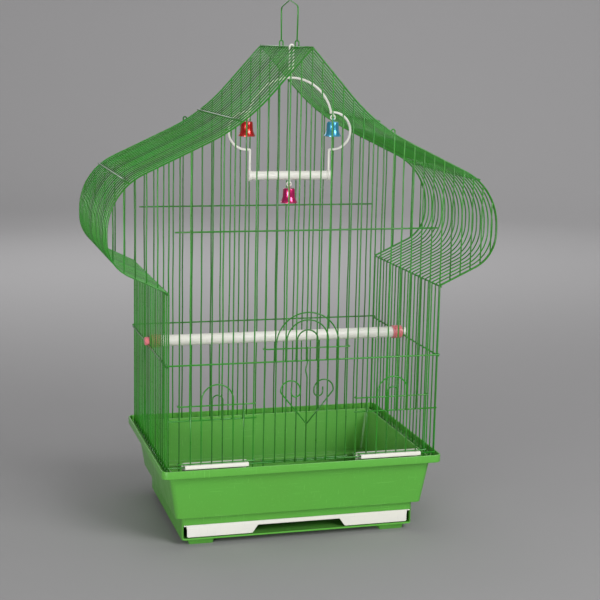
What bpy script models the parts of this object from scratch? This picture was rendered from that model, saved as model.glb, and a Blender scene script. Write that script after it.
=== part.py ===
"""House-shaped wire bird cage on a plastic tub with a litter drawer.

Metres, +Z up. The origin is on the floor under the middle of the cage, +X is to the
right of someone facing the doors and +Y points to the back of the cage.
"""

from math import asin, atan2, cos, degrees, pi, radians, sin, sqrt, tan

import bmesh
import bpy
from mathutils import Matrix, Vector

# Cage box: side walls, front and back
CAGE_WIDTH = 0.333
CAGE_DEPTH = 0.2414
FRONT_GAPS = 26
SIDE_GAPS = 20

# Heights, stacked from the floor up
FOOT_HEIGHT = 0.0074
BASE_HEIGHT = 0.0301
TUB_HEIGHT = 0.0645
WALL_HEIGHT = 0.211
ROOF_HEIGHT = 0.2816

# Outline of the front above the eave corner, out to the shoulder and up to the ridge
SHOULDER_REACH = 0.071
SHOULDER_LOW = 0.0334
SHOULDER_HIGH = 0.1175
SLOPE_BREAK_SHARE = 0.33
SLOPE_BREAK = 0.1932
SLOPE_RADIUS = 0.230
SHOULDER_TOP_RADIUS = 0.075
SHOULDER_LOW_RADIUS = 0.045

# Wire, as half the side of a square section, and the gap that touching pieces keep
WIRE = 0.0008
RAIL = 0.0009
FRAME_WIRE = 0.00095
RIDGE_RAIL = 0.0010
GAP = 0.0003

# How far welded wires sink into each other, and the step that keeps two faces out of one plane
WELD = 0.0003
NUDGE = 0.00003

# Horizontal wires: heights above the tub, the eave or the belt, and places along the roof
FOOT_RAIL_RISE = 0.0025
SILL_RISE = 0.059
BELT_RISE = 0.1257
SIDE_BELT_RISE = -0.0022
UPPER_RAIL_RISE = 0.071
SILL_OVERLAP = 0.25
SLOPE_RAIL_BEYOND = 0.004
SHOULDER_RAIL_INSET = 0.0257
RAIL_HOOK = 0.0045

# Roof clips: uprights of the front and the back, bent over the last wires of the roof
ROOF_CLIP_INDEX = 8
ROOF_CLIP_RISE = 0.0060
ROOF_CLIP_DROP = 0.0045

# Tub and the base under it
RIM_OVERHANG_X = 0.0083
RIM_OVERHANG_Y = 0.00875
RIM_BAND = 0.0095
RIM_WALL = 0.0017
GUTTER_FLOOR = 0.0015
GUTTER_LIP = 0.0050
GUTTER_INSET_X = 0.0035
GUTTER_INSET_Y = 0.00185
BODY_STEP = 0.0105
BODY_TAPER_X = 0.009
BODY_TAPER_Y = 0.0065
BODY_WALL = 0.0022
BASE_INSET_X = 0.0283
BASE_INSET_Y = 0.0241
BASE_WALL = 0.0016
BASE_FLOOR = 0.0020
LEDGE_WIDTH = 0.0086
LEDGE_THICKNESS = 0.0030
TUB_CORNER = 0.008
FOOT_LENGTH = 0.0335
FOOT_DEPTH = 0.020
FOOT_INSET_X = 0.0080
FOOT_INSET_Y = 0.0045
FOOT_TAPER = 0.0015
FOOT_CORNER = 0.0020

# Litter drawer
DRAWER_HEADROOM = 0.0115
DRAWER_DEPTH = 0.0060
DRAWER_WALL = 0.0015
DRAWER_FLANGE = 0.0038
DRAWER_FLOOR_GAP = 0.0010
DRAWER_CLEARANCE = 0.0007
DRAWER_SETBACK = 0.0010
RUNNER_HEIGHT = 0.0020
RUNNER_WIDTH = 0.0032
NOTCH_HALF = 0.059
NOTCH_SLANT = 0.007

# Doors, in gaps of the front or as heights above the belt or the sill
MAIN_GUIDE = 4
MAIN_BAR_RISE = 0.0155
MAIN_ARCHES = ((3, 0.0048, 10), (2, 0.0086, 8), (1, 0.0093, 6))
MAIN_FOOT_DROP = 0.0030
KINK_DEPTH = 0.0016
KINK_DROP = 0.0200
KINK_RISE = 0.0020
FEED_CENTRE = 8.5
FEED_GUIDE = 3.5
FEED_BAR_RISE = 0.0175
FEED_ARCH_RISE = 0.0061
HEART_HALF = 0.0325
HEART_TIP_DROP = 0.0767
HEART_CURL_DROP = 0.0352
HEART_CURL_RADIUS = 0.0120
HEART_TAIL_RADIUS = 0.0055
HEART_TAIL_DROP = 0.0025
HEART_TAIL_END = 0.0035

# Feed cups
CUP_SIDE_GAP = 0.0063
CUP_EAR = 0.0015
CUP_DEPTH = 0.028
CUP_HEIGHT = 0.0355
CUP_WALL = 0.0015
CUP_TAPER = 0.003
CUP_CORNER = 0.007
CUP_SETBACK = 0.0012
CUP_RIM_DROP = 0.0087
CUP_LIP_DROP = 0.0046
CUP_LIP_OUT = 0.0065

# Perch across the cage
PERCH_RADIUS = 0.0070
PERCH_RISE = 0.0045
PERCH_GAP_INDEX = 0.5
PERCH_NECK_GAP = 0.0004
PERCH_TIP_FLARE = 0.0004
PERCH_TIP_LENGTH = 0.0030
PERCH_TIP_ROUND = 0.0008
COLLAR_LENGTH = 0.0125
COLLAR_WALL = 0.0011
COLLAR_GROOVE = 0.0006
COLLAR_STEPS = 6
CAP_WALL = 0.0015

# Swing on the ridge rail, as drops below the ridge
SWING_GAP_INDEX = -2.5
SWING_TUBE = 0.0018
HOOK_TUBE = 0.0011
HOOK_SPREAD = 0.0044
HOOK_TAIL = 0.0033
HOOK_BEND = 0.0022
HOOK_TUCK = 0.0005
HOOK_DROP = 0.0310
ARCH_DROP = 0.0371
ARCH_END_SHARE = 0.954
ARCH_LAP = 5
LOBE_SHARE = 0.6928
LOBE_DROP = 0.1012
LOBE_RADIUS = 0.0234
LEG_INSET = 0.0043
SWING_BAR_DROP = 0.1555
SWING_BAR_RADIUS = 0.0055
SWING_BAR_END = 0.0004
SWING_BAR_ROUND = 0.0012
SWING_EYE_WALL = 0.0009
SWING_EYE_LENGTH = 0.0036

# Bells: lug holes, the oval link, the shell and the clapper
LUG_HALF = 0.0006
LUG_HOLE = 0.0017
LUG_WALL = 0.0009
LINK_HALF_X = 0.0028
LINK_HALF_Z = 0.0026
LINK_TUBE = 0.0009
BELL_HEIGHT = 0.0180
BELL_LIP = 0.0106
BELL_EDGE = 0.0009
BELL_FLARE = 0.0055
BELL_BODY = 0.0074
BELL_DRAFT = 0.0005
BELL_TOP = 0.0054
BELL_ROUND = 0.0018
BELL_WALL = 0.0010
CLAPPER_WIRE = 0.00055
CLAPPER_EYE = 0.0020
CLAPPER_LENGTH = 0.0095
CLAPPER_BALL = 0.0024

# Hanger over the ridge
HANGER_GAP_INDEX = -1.5
HANGER_GAPS = 6
HANGER_TUBE = 0.0009
HANGER_EYE_RISE = 0.0050
HANGER_HEIGHT = 0.0564
HANGER_SHOULDER = 0.0474
HANGER_BOW = 0.0023
HANGER_CORNER = 0.0080

# Places that several pieces share
PITCH = CAGE_WIDTH / FRONT_GAPS
SIDE_PITCH = CAGE_DEPTH / SIDE_GAPS
BASE_TOP = FOOT_HEIGHT + BASE_HEIGHT
TUB_TOP = BASE_TOP + TUB_HEIGHT
EAVE_Z = TUB_TOP + WALL_HEIGHT
RIDGE_Z = EAVE_Z + ROOF_HEIGHT
BELT_Z = TUB_TOP + BELT_RISE
SILL_Z = TUB_TOP + SILL_RISE
FOOT_RAIL_Z = TUB_TOP + FOOT_RAIL_RISE
GUTTER_Z = TUB_TOP - RIM_BAND + GUTTER_FLOOR
WALL_X = CAGE_WIDTH / 2
SHOULDER_X = WALL_X + SHOULDER_REACH
SLOPE_BREAK_X = SLOPE_BREAK_SHARE * SHOULDER_X
SLOPE_RAIL_X = SLOPE_BREAK_X + SLOPE_RAIL_BEYOND
SHOULDER_RAIL_X = SHOULDER_X - SHOULDER_RAIL_INSET
PANEL_Y = CAGE_DEPTH / 2 + WIRE + GAP + FRAME_WIRE
RAIL_OUT = FRAME_WIRE + GAP + RAIL
RAIL_Y = PANEL_Y + RAIL_OUT
DOOR_Y = RAIL_Y + RAIL + GAP + WIRE
DOOR_BAR_Y = DOOR_Y - 2 * WIRE + WELD
HEART_Y = DOOR_Y + 2 * WIRE - WELD
RIM_X = WALL_X + RIM_OVERHANG_X
RIM_Y = PANEL_Y + RIM_OVERHANG_Y
GUTTER_X = WALL_X - GUTTER_INSET_X
GUTTER_Y = CAGE_DEPTH / 2 - GUTTER_INSET_Y
BASE_X = RIM_X - BASE_INSET_X
BASE_Y = RIM_Y - BASE_INSET_Y
BASE_INSIDE_X = BASE_X - BASE_WALL
BASE_INSIDE_Y = BASE_Y - BASE_WALL
DRAWER_TOP = BASE_TOP - DRAWER_HEADROOM
DRAWER_FLOOR_Z = DRAWER_TOP - DRAWER_DEPTH
DRAWER_SKIRT_Z = FOOT_HEIGHT + BASE_FLOOR + DRAWER_FLOOR_GAP
DRAWER_FRONT = DRAWER_SETBACK - BASE_Y
CUP_NECK_Z = FOOT_RAIL_Z + FRAME_WIRE + GAP
MAIN_FOOT_Z = FOOT_RAIL_Z + RAIL + GAP + WIRE
MAIN_BAR_Z = BELT_Z + MAIN_BAR_RISE
FEED_FOOT_Z = CUP_NECK_Z + CUP_WALL + GAP + WIRE
FEED_BAR_Z = SILL_Z + FEED_BAR_RISE
SWING_Y = SWING_GAP_INDEX * SIDE_PITCH
HANGER_Y = HANGER_GAP_INDEX * SIDE_PITCH
LOBE_X = LOBE_SHARE * SLOPE_BREAK_X
SWING_LEG_X = LOBE_X - LEG_INSET
LOBE_Z = RIDGE_Z - LOBE_DROP
SWING_BAR_Z = RIDGE_Z - SWING_BAR_DROP
LUG_DROP = LUG_HOLE + LUG_WALL / 2

# A full turn that starts half a facet round, so that facets of 16 face each other
EVEN_TURN = (11.25, 371.25)

UP = Vector((0, 0, 1))
ACROSS = Vector((1, 0, 0))
BACK = Vector((0, 1, 0))


def clear_scene():
    for obj in list(bpy.data.objects):
        bpy.data.objects.remove(obj, do_unlink=True)


def material(name, colour, roughness, metallic=0.0):
    made = bpy.data.materials.new(name)
    made.use_nodes = True
    shader = made.node_tree.nodes["Principled BSDF"]
    shader.inputs["Base Color"].default_value = (*colour, 1)
    shader.inputs["Roughness"].default_value = roughness
    shader.inputs["Metallic"].default_value = metallic
    return made


def make_object(name, bm, finish, smooth=False):
    """Turns a bmesh in world space into a named object."""
    bmesh.ops.recalc_face_normals(bm, faces=bm.faces)
    mesh = bpy.data.meshes.new(name)
    bm.to_mesh(mesh)
    bm.free()
    if smooth:
        mesh.shade_smooth()
        mesh.set_sharp_from_angle(angle=radians(40))
    mesh.materials.append(finish)
    obj = bpy.data.objects.new(name, mesh)
    bpy.context.collection.objects.link(obj)
    return obj


def combine(obj, bm, operation="UNION"):
    """Joins a second shape to an object with a Boolean, or cuts it out."""
    helper = make_object(f"{obj.name}_{operation.lower()}_{len(obj.modifiers)}", bm, obj.data.materials[0])
    helper.hide_render = True
    helper.display_type = "WIRE"
    modifier = obj.modifiers.new(helper.name, "BOOLEAN")
    modifier.operation = operation
    modifier.object = helper
    modifier.solver = "EXACT"
    helper.parent = obj
    return obj


def set_origin(obj, point):
    """Moves the origin to a point of the joint axis and leaves the shape where it is."""
    shift = Vector(point)
    obj.data.transform(Matrix.Translation(-shift))
    obj.location = shift
    for helper in obj.children:
        helper.location = -shift
    return obj


def world_place(obj):
    place = Vector(obj.location)
    while obj.parent:
        obj = obj.parent
        place += obj.location
    return place


def hang(child, parent):
    """Parents a piece and keeps it where it is."""
    child.location = world_place(child) - world_place(parent)
    child.parent = parent


def pivot(name, point):
    empty = bpy.data.objects.new(name, None)
    empty.empty_display_size = 0.01
    empty.location = point
    bpy.context.collection.objects.link(empty)
    return empty


def arc(centre, radius, start, end, steps):
    """Points on an arc in a plane, its angles in degrees."""
    return [
        (centre[0] + radius * cos(radians(start + (end - start) * i / steps)),
         centre[1] + radius * sin(radians(start + (end - start) * i / steps)))
        for i in range(steps + 1)
    ]


def fillet(before, corner, after, radius, steps):
    """Points of the arc that rounds a corner between two straight runs."""
    corner, before, after = Vector(corner), Vector(before), Vector(after)
    inward = (before - corner).normalized()
    outward = (after - corner).normalized()
    half = inward.angle(outward) / 2
    reach = radius / tan(half)
    centre = corner + (inward + outward).normalized() * radius / sin(half)
    first = corner + inward * reach - centre
    last = corner + outward * reach - centre
    start = atan2(first.y, first.x)
    sweep_angle = (atan2(last.y, last.x) - start + pi) % (2 * pi) - pi
    angles = [start + sweep_angle * i / steps for i in range(steps + 1)]
    return [(centre.x + radius * cos(a), centre.y + radius * sin(a)) for a in angles]


def sweep(bm, path, half, up, sides=4, closed=False):
    """Adds a tube along a path with mitred corners; a square section lies flat to up."""
    path = [Vector(point) for point in path]
    count = len(path)
    legs = [(path[(i + 1) % count] - path[i]).normalized() for i in range(count)]
    if not closed:
        legs[-1] = legs[-2]
    before = legs[-1] if closed else legs[0]
    side = before.cross(up).normalized()
    above = side.cross(before).normalized()
    turn = pi / 4 if sides == 4 else 0
    reach = half * sqrt(2) if sides == 4 else half
    angles = [turn + 2 * pi * k / sides for k in range(sides)]
    ring = [path[0] + reach * (cos(a) * side + sin(a) * above) for a in angles]
    rings = []
    for point, leg in zip(path, legs):
        normal = (before + leg).normalized()
        ring = [q + before * ((point - q).dot(normal) / before.dot(normal)) for q in ring]
        rings.append([bm.verts.new(q) for q in ring])
        before = leg
    pairs = list(zip(rings, rings[1:]))
    if closed:
        pairs.append((rings[-1], rings[0]))
    else:
        bm.faces.new(rings[0])
        bm.faces.new(rings[-1])
    for low, high in pairs:
        for k in range(sides):
            bm.faces.new((low[k], low[(k + 1) % sides], high[(k + 1) % sides], high[k]))


def box(bm, low, high):
    """Adds an upright box between two corners."""
    low, high = Vector(low), Vector(high)
    made = bmesh.ops.create_cube(bm, size=1)
    size, middle = high - low, (high + low) / 2
    for vert in made["verts"]:
        vert.co = Vector((vert.co.x * size.x, vert.co.y * size.y, vert.co.z * size.z)) + middle


def rounded_rectangle(half_x, half_y, radius, z, steps=3, centre=(0, 0)):
    """A level ring of points with round corners."""
    points = []
    for quarter, (sx, sy) in enumerate(((1, 1), (-1, 1), (-1, -1), (1, -1))):
        corner = (centre[0] + sx * (half_x - radius), centre[1] + sy * (half_y - radius))
        points += arc(corner, radius, 90 * quarter, 90 * quarter + 90, steps)
    return [(x, y, z) for x, y in points]


def loft(bm, rings):
    """Adds a closed skin over rings of equal count, with a cap on the first and the last."""
    made = [[bm.verts.new(point) for point in ring] for ring in rings]
    for low, high in zip(made, made[1:]):
        for k in range(len(low)):
            bm.faces.new((low[k], low[(k + 1) % len(low)], high[(k + 1) % len(low)], high[k]))
    bm.faces.new(made[0])
    bm.faces.new(made[-1])


def turned(bm, profile, axis="Z", centre=(0, 0, 0), segments=16, ring=False):
    """Adds a solid turned from (radius, height) points that start and end on the axis.

    The profile of a ring is a closed loop instead, off the axis.
    """
    centre = Vector(centre)
    spin = [2 * pi * (k + 0.5) / segments for k in range(segments)]
    rings = []
    for radius, height in profile:
        if radius == 0:
            rings.append([(0, 0, height)])
        else:
            rings.append([(radius * cos(a), radius * sin(a), height) for a in spin])
    place = {"Z": Matrix.Identity(3), "X": Matrix.Rotation(pi / 2, 3, "Y")}[axis]
    made = [[bm.verts.new(place @ Vector(p) + centre) for p in points] for points in rings]
    pairs = list(zip(made, made[1:]))
    if ring:
        pairs.append((made[-1], made[0]))
    for low, high in pairs:
        for k in range(segments):
            corners = [low[k % len(low)], low[(k + 1) % segments % len(low)],
                       high[(k + 1) % segments % len(high)], high[k % len(high)]]
            bm.faces.new(list(dict.fromkeys(corners)))


def prism(bm, outline, start, end, axis):
    """Adds an outline of (a, b) points extruded along X or Y, with b as height."""
    place = {
        "X": lambda a, b, c: (c, a, b),
        "Y": lambda a, b, c: (a, c, b),
    }[axis]
    loft(bm, [[place(a, b, c) for a, b in outline] for c in (start, end)])


def roof_outline(steps=3):
    """The right half of the outline, (x, z) points from the ridge down to the eave corner."""
    ridge = (0, RIDGE_Z)
    slope = (SLOPE_BREAK_X, EAVE_Z + SLOPE_BREAK)
    top = (SHOULDER_X, EAVE_Z + SHOULDER_HIGH)
    low = (SHOULDER_X, EAVE_Z + SHOULDER_LOW)
    eave = (WALL_X, EAVE_Z)
    return [
        ridge,
        *fillet(ridge, slope, top, SLOPE_RADIUS, steps - 1),
        *fillet(slope, top, low, SHOULDER_TOP_RADIUS, steps),
        *fillet(top, low, eave, SHOULDER_LOW_RADIUS, steps - 1),
        eave,
    ]


def outline_heights(x):
    """Heights at which an upright at x meets the outline, the highest first."""
    points = roof_outline()
    found = []
    for (x0, z0), (x1, z1) in zip(points, points[1:]):
        if x0 != x1 and min(x0, x1) <= x < max(x0, x1):
            found.append(z0 + (z1 - z0) * (x - x0) / (x1 - x0))
    return sorted(found, reverse=True)


def slope_point(x):
    """The point at x on the upper slopes of the outline, and the direction out of the roof there."""
    points = roof_outline()
    for (x0, z0), (x1, z1) in zip(points, points[1:]):
        if x0 <= x <= x1:
            run = Vector((x1 - x0, z1 - z0)).normalized()
            return (x, z0 + (z1 - z0) * (x - x0) / (x1 - x0)), (-run.y, run.x)
    raise ValueError("x lies beyond the roof")


def panel(name, side, finish, foot_of):
    """A flat front or back of upright wires in an outline of heavier wire.

    foot_of gives the height at which the upright of an index ends.
    """
    y = side * PANEL_Y
    half = roof_outline()
    foot = GUTTER_Z + GAP
    outline = [(WALL_X, foot), *reversed(half), *[(-x, z) for x, z in half[1:]], (-WALL_X, foot)]
    frame = bmesh.new()
    sweep(frame, [(x, y, z) for x, z in outline], FRAME_WIRE, BACK)
    obj = make_object(name, frame, finish)
    uprights = bmesh.new()
    last = int(SHOULDER_X / PITCH)
    for index in range(-last, last + 1):
        x = index * PITCH
        heights = outline_heights(abs(x))
        bottom = EAVE_Z if abs(index) == FRONT_GAPS // 2 else heights[-1]
        if abs(index) < FRONT_GAPS // 2:
            bottom = foot_of(index)
        path = [(x, y, bottom), (x, y, heights[0])]
        if abs(index) == ROOF_CLIP_INDEX:
            path[-1:] = roof_clip(x, side, heights[0])
        sweep(uprights, path, WIRE, BACK if len(path) == 2 else ACROSS)
    combine(obj, uprights)
    return obj


def roof_clip(x, side, z):
    """An upright's end, bent over the last wire of the roof."""
    inner = side * (CAGE_DEPTH / 2 - 2 * WIRE - GAP)
    outer = side * PANEL_Y
    top = z + ROOF_CLIP_RISE
    return [(x, outer, top), (x, inner, top), (x, inner, top - ROOF_CLIP_DROP)]


def front_panel(finish):
    feed = [FEED_CENTRE - FEED_GUIDE, FEED_CENTRE + FEED_GUIDE]

    def foot_of(index):
        if abs(index) < MAIN_GUIDE:
            return BELT_Z
        if feed[0] < abs(index) < feed[1]:
            return SILL_Z
        return GUTTER_Z + GAP

    return panel("front_panel", -1, finish, foot_of)


def back_panel(finish):
    foot = GUTTER_Z + GAP + RAIL
    obj = panel("back_panel", 1, finish, lambda index: foot)
    rail = bmesh.new()
    sweep(rail, [(s * WALL_X, PANEL_Y, foot) for s in (-1, 1)], RAIL, UP)
    return combine(obj, rail)


def roof_sheet(name, side, finish):
    """One side wall and its half of the roof, bent from one sheet of wires."""
    half = roof_outline()
    slope = Vector(half[1]) - Vector(half[0])
    start = Vector(half[0]) + slope.normalized() * (RIDGE_RAIL + 1.5 * GAP)
    foot = GUTTER_Z + GAP + FRAME_WIRE
    outline = [tuple(start), *half[1:], (WALL_X, foot)]
    rail = bmesh.new()
    end = CAGE_DEPTH / 2 + WIRE / 2
    sweep(rail, [(side * WALL_X, s * end, foot) for s in (-1, 1)], FRAME_WIRE, UP)
    obj = make_object(name, rail, finish)
    wires = bmesh.new()
    for index in range(SIDE_GAPS + 1):
        y = index * SIDE_PITCH - CAGE_DEPTH / 2
        sweep(wires, [(side * x, y, z) for x, z in outline], WIRE, BACK)
    return combine(obj, wires)


def rails(finish):
    """The cross wires that are welded on the outside of the walls and the roof."""
    def rail(name, path, half=RAIL, up=UP, sides=4):
        bm = bmesh.new()
        sweep(bm, path, half, up, sides)
        return make_object(name, bm, finish)

    end_x = WALL_X + RAIL_OUT
    end_y = PANEL_Y - GAP
    for name, side in (("front", -1), ("back", 1)):
        y = side * RAIL_Y
        hook = side * (RAIL_Y - RAIL_HOOK)
        belt = [(-end_x, hook), (-end_x, y), (end_x, y), (end_x, hook)]
        rail(f"{name}_belt_rail", [(px, py, BELT_Z) for px, py in belt])
        upper_z = EAVE_Z + UPPER_RAIL_RISE
        rail(f"{name}_upper_rail", [(s * (WALL_X - PITCH / 2), y, upper_z) for s in (-1, 1)])
        if side < 0:
            rail("front_foot_rail", [(s * (WALL_X + FRAME_WIRE), y, FOOT_RAIL_Z) for s in (-1, 1)])
    for name, side in (("left", -1), ("right", 1)):
        sill = [side * (FEED_CENTRE - FEED_GUIDE - SILL_OVERLAP) * PITCH, side * (WALL_X + FRAME_WIRE)]
        rail(f"{name}_sill_rail", [(px, -RAIL_Y, SILL_Z) for px in sill])
        x = side * end_x
        rail(f"{name}_belt_rail", [(x, s * end_y, BELT_Z + SIDE_BELT_RISE) for s in (-1, 1)])
        rise = SHOULDER_LOW / SHOULDER_REACH
        eave_z = EAVE_Z + RAIL_OUT * (rise - sqrt(1 + rise ** 2)) - GAP
        rail(f"{name}_eave_rail", [(x, s * end_y, eave_z) for s in (-1, 1)])
        for place, px in (("shoulder", SHOULDER_RAIL_X), ("slope", SLOPE_RAIL_X)):
            (rx, rz), (nx, nz) = slope_point(px)
            ends = [(side * (rx + RAIL_OUT * nx), s * end_y, rz + RAIL_OUT * nz) for s in (-1, 1)]
            rail(f"{name}_{place}_rail", ends, up=Vector((side * nx, 0, nz)))
    ridge_end = PANEL_Y - FRAME_WIRE - GAP
    rail("ridge_rail", [(0, s * ridge_end, RIDGE_Z) for s in (-1, 1)], RIDGE_RAIL, sides=8)


def base_tub(finish):
    """Tub with a gutter for the wires, on a base that the litter drawer runs in."""
    lip_z = GUTTER_Z + GUTTER_LIP - GUTTER_FLOOR
    body = (RIM_X - BODY_STEP, RIM_Y - BODY_STEP)
    floor = (body[0] - BODY_TAPER_X, body[1] - BODY_TAPER_Y)
    throat = (BASE_X - LEDGE_WIDTH, BASE_Y - LEDGE_WIDTH)
    inside = (BASE_INSIDE_X, BASE_INSIDE_Y)
    runner = (BASE_INSIDE_X - RUNNER_WIDTH, BASE_INSIDE_Y - RUNNER_WIDTH)
    runner_top = DRAWER_TOP - DRAWER_WALL - GAP
    ledge_top = BASE_TOP + BASE_FLOOR
    ledge_under = ledge_top - LEDGE_THICKNESS
    inside_floor = FOOT_HEIGHT + BASE_FLOOR
    profile = [
        (BASE_X, BASE_Y, FOOT_HEIGHT),
        (BASE_X, BASE_Y, BASE_TOP),
        (*floor, BASE_TOP),
        (*body, TUB_TOP - RIM_BAND),
        (RIM_X, RIM_Y, TUB_TOP - RIM_BAND),
        (RIM_X, RIM_Y, TUB_TOP),
        (RIM_X - RIM_WALL, RIM_Y - RIM_WALL, TUB_TOP),
        (RIM_X - RIM_WALL, RIM_Y - RIM_WALL, GUTTER_Z),
        (GUTTER_X, GUTTER_Y, GUTTER_Z),
        (GUTTER_X, GUTTER_Y, lip_z),
        (GUTTER_X - RIM_WALL, GUTTER_Y - RIM_WALL, lip_z),
        (floor[0] - BODY_WALL, floor[1] - BODY_WALL, ledge_top),
        (*throat, ledge_top),
        (*throat, ledge_under),
        (*inside, ledge_under),
        (*inside, runner_top),
        (*runner, runner_top),
        (*runner, runner_top - RUNNER_HEIGHT),
        (*inside, runner_top - RUNNER_HEIGHT),
        (*inside, inside_floor),
    ]
    bm = bmesh.new()
    loft(bm, [
        rounded_rectangle(hx, hy, TUB_CORNER * (hx / RIM_X) ** 3, z)
        for hx, hy, z in profile
    ])
    obj = make_object("base_tub", bm, finish, smooth=True)
    feet = bmesh.new()
    for sx in (-1, 1):
        for sy in (-1, 1):
            x = sx * (BASE_X - FOOT_INSET_X - FOOT_LENGTH / 2)
            y = sy * (BASE_Y - FOOT_INSET_Y - FOOT_DEPTH / 2)
            low = (FOOT_LENGTH / 2 - FOOT_TAPER, FOOT_DEPTH / 2 - FOOT_TAPER)
            high = (FOOT_LENGTH / 2, FOOT_DEPTH / 2)
            loft(feet, [
                rounded_rectangle(*low, FOOT_CORNER, 0, 1, (x, y)),
                rounded_rectangle(*high, FOOT_CORNER, FOOT_HEIGHT + BASE_FLOOR / 2, 1, (x, y)),
            ])
    combine(obj, feet)
    slot = bmesh.new()
    mouth = BASE_INSIDE_X - GAP
    box(slot, (-mouth, -BASE_Y - BASE_WALL, inside_floor + NUDGE),
        (mouth, -BASE_INSIDE_Y + TUB_CORNER, DRAWER_TOP + GAP))
    return combine(obj, slot, "DIFFERENCE")


def drawer_block(inset, low, high):
    """A level slab of the drawer with round back corners, inset from the edge of its flange."""
    half = BASE_INSIDE_X - DRAWER_CLEARANCE - inset
    back = BASE_INSIDE_Y - DRAWER_CLEARANCE - inset
    corner = TUB_CORNER - inset
    outline = [(half, DRAWER_FRONT), *arc((half - corner, back - corner), corner, 0, 90, 3),
               *arc((-half + corner, back - corner), corner, 90, 180, 3), (-half, DRAWER_FRONT)]
    bm = bmesh.new()
    loft(bm, [[(x, y, z) for x, y in outline] for z in (low, high)])
    return bm


def litter_drawer(finish):
    """Shallow tray on side flanges, with a front skirt that has a finger notch."""
    tray = BASE_INSIDE_X - DRAWER_CLEARANCE - DRAWER_FLANGE
    front = DRAWER_FRONT
    pan = drawer_block(DRAWER_FLANGE, DRAWER_FLOOR_Z, DRAWER_TOP - NUDGE)
    obj = make_object("litter_drawer", pan, finish)
    combine(obj, drawer_block(0, DRAWER_TOP - DRAWER_WALL, DRAWER_TOP))
    skirt = bmesh.new()
    box(skirt, (-tray + GAP, front - NUDGE, DRAWER_SKIRT_Z),
        (tray - GAP, front + DRAWER_WALL, DRAWER_TOP - DRAWER_WALL / 2))
    combine(obj, skirt)
    hollow = drawer_block(DRAWER_FLANGE + DRAWER_WALL, DRAWER_FLOOR_Z + DRAWER_WALL, DRAWER_TOP + DRAWER_WALL)
    front_edge = [v for v in hollow.verts if v.co.y < front + NUDGE]
    bmesh.ops.translate(hollow, verts=front_edge, vec=BACK * DRAWER_WALL)
    combine(obj, hollow, "DIFFERENCE")
    notch = bmesh.new()
    low, high = DRAWER_SKIRT_Z - DRAWER_WALL, DRAWER_FLOOR_Z + GAP
    narrow = NOTCH_HALF - NOTCH_SLANT
    shape = [(-NOTCH_HALF, low), (NOTCH_HALF, low), (narrow, high), (-narrow, high)]
    prism(notch, shape, front - DRAWER_WALL, front + 2 * DRAWER_WALL, "Y")
    return combine(obj, notch, "DIFFERENCE")


def door_bar(bm, x_middle, guide, z):
    """A cross bar whose ends hook round the guide wires on both sides."""
    past = guide + 2 * WIRE + GAP
    behind = -PANEL_Y + 2 * WIRE + GAP
    path = [(-guide + WIRE / 2, behind), (-past, behind), (-past, -DOOR_BAR_Y),
            (past, -DOOR_BAR_Y), (past, behind), (guide - WIRE / 2, behind)]
    sweep(bm, [(x_middle + x, y, z) for x, y in path], WIRE, UP)


def arch_path(x_middle, half, foot, spring, steps):
    """An upright pair joined by a half circle."""
    points = arc((x_middle, spring), half, 180, 0, steps)
    points = [(x_middle - half, foot), *points, (x_middle + half, foot)]
    return [(x, -DOOR_Y, z) for x, z in points]


def kinked_wire(foot, top):
    """The middle upright of the main door, with its small sideways wave."""
    low, high = BELT_Z - KINK_DROP, BELT_Z + KINK_RISE
    steps = 6
    wave = [(-KINK_DEPTH * sin(pi * i / steps), low + (high - low) * i / steps) for i in range(steps + 1)]
    return [(x, -DOOR_Y, z) for x, z in [(0, foot), *wave, (0, top)]]


def heart_path(side):
    """One half of the open heart, from the tip up and round into its curl."""
    middle = HEART_HALF - HEART_CURL_RADIUS
    tail_middle = middle - HEART_CURL_RADIUS + HEART_TAIL_RADIUS
    curl_z = BELT_Z - HEART_CURL_DROP
    curl = arc((middle, curl_z), HEART_CURL_RADIUS, -10, 180, 7)
    tail = arc((tail_middle, curl_z - HEART_TAIL_DROP), HEART_TAIL_RADIUS, 180, 345, 5)
    start = (WIRE / 2, BELT_Z - HEART_TIP_DROP)
    points = [start, *curl, *tail, (tail_middle + HEART_TAIL_RADIUS, curl_z + HEART_TAIL_END)]
    return [(side * x, -HEART_Y, z) for x, z in points]


def main_door(finish):
    foot = MAIN_FOOT_Z - MAIN_FOOT_DROP
    bm = bmesh.new()
    door_bar(bm, 0, MAIN_GUIDE * PITCH, MAIN_FOOT_Z)
    obj = make_object("main_door", bm, finish)
    upper = bmesh.new()
    door_bar(upper, 0, MAIN_GUIDE * PITCH, MAIN_BAR_Z)
    combine(obj, upper)
    wires = bmesh.new()
    for count, rise, steps in MAIN_ARCHES:
        path = arch_path(0, count * PITCH, foot, MAIN_BAR_Z + rise, steps)
        sweep(wires, path, WIRE, BACK)
    sweep(wires, kinked_wire(foot, MAIN_BAR_Z + 2 * WIRE), WIRE, BACK)
    combine(obj, wires)
    for side in (-1, 1):
        heart = bmesh.new()
        sweep(heart, heart_path(side), WIRE, BACK)
        combine(obj, heart)
    return set_origin(obj, (0, -DOOR_Y, MAIN_FOOT_Z))


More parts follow.
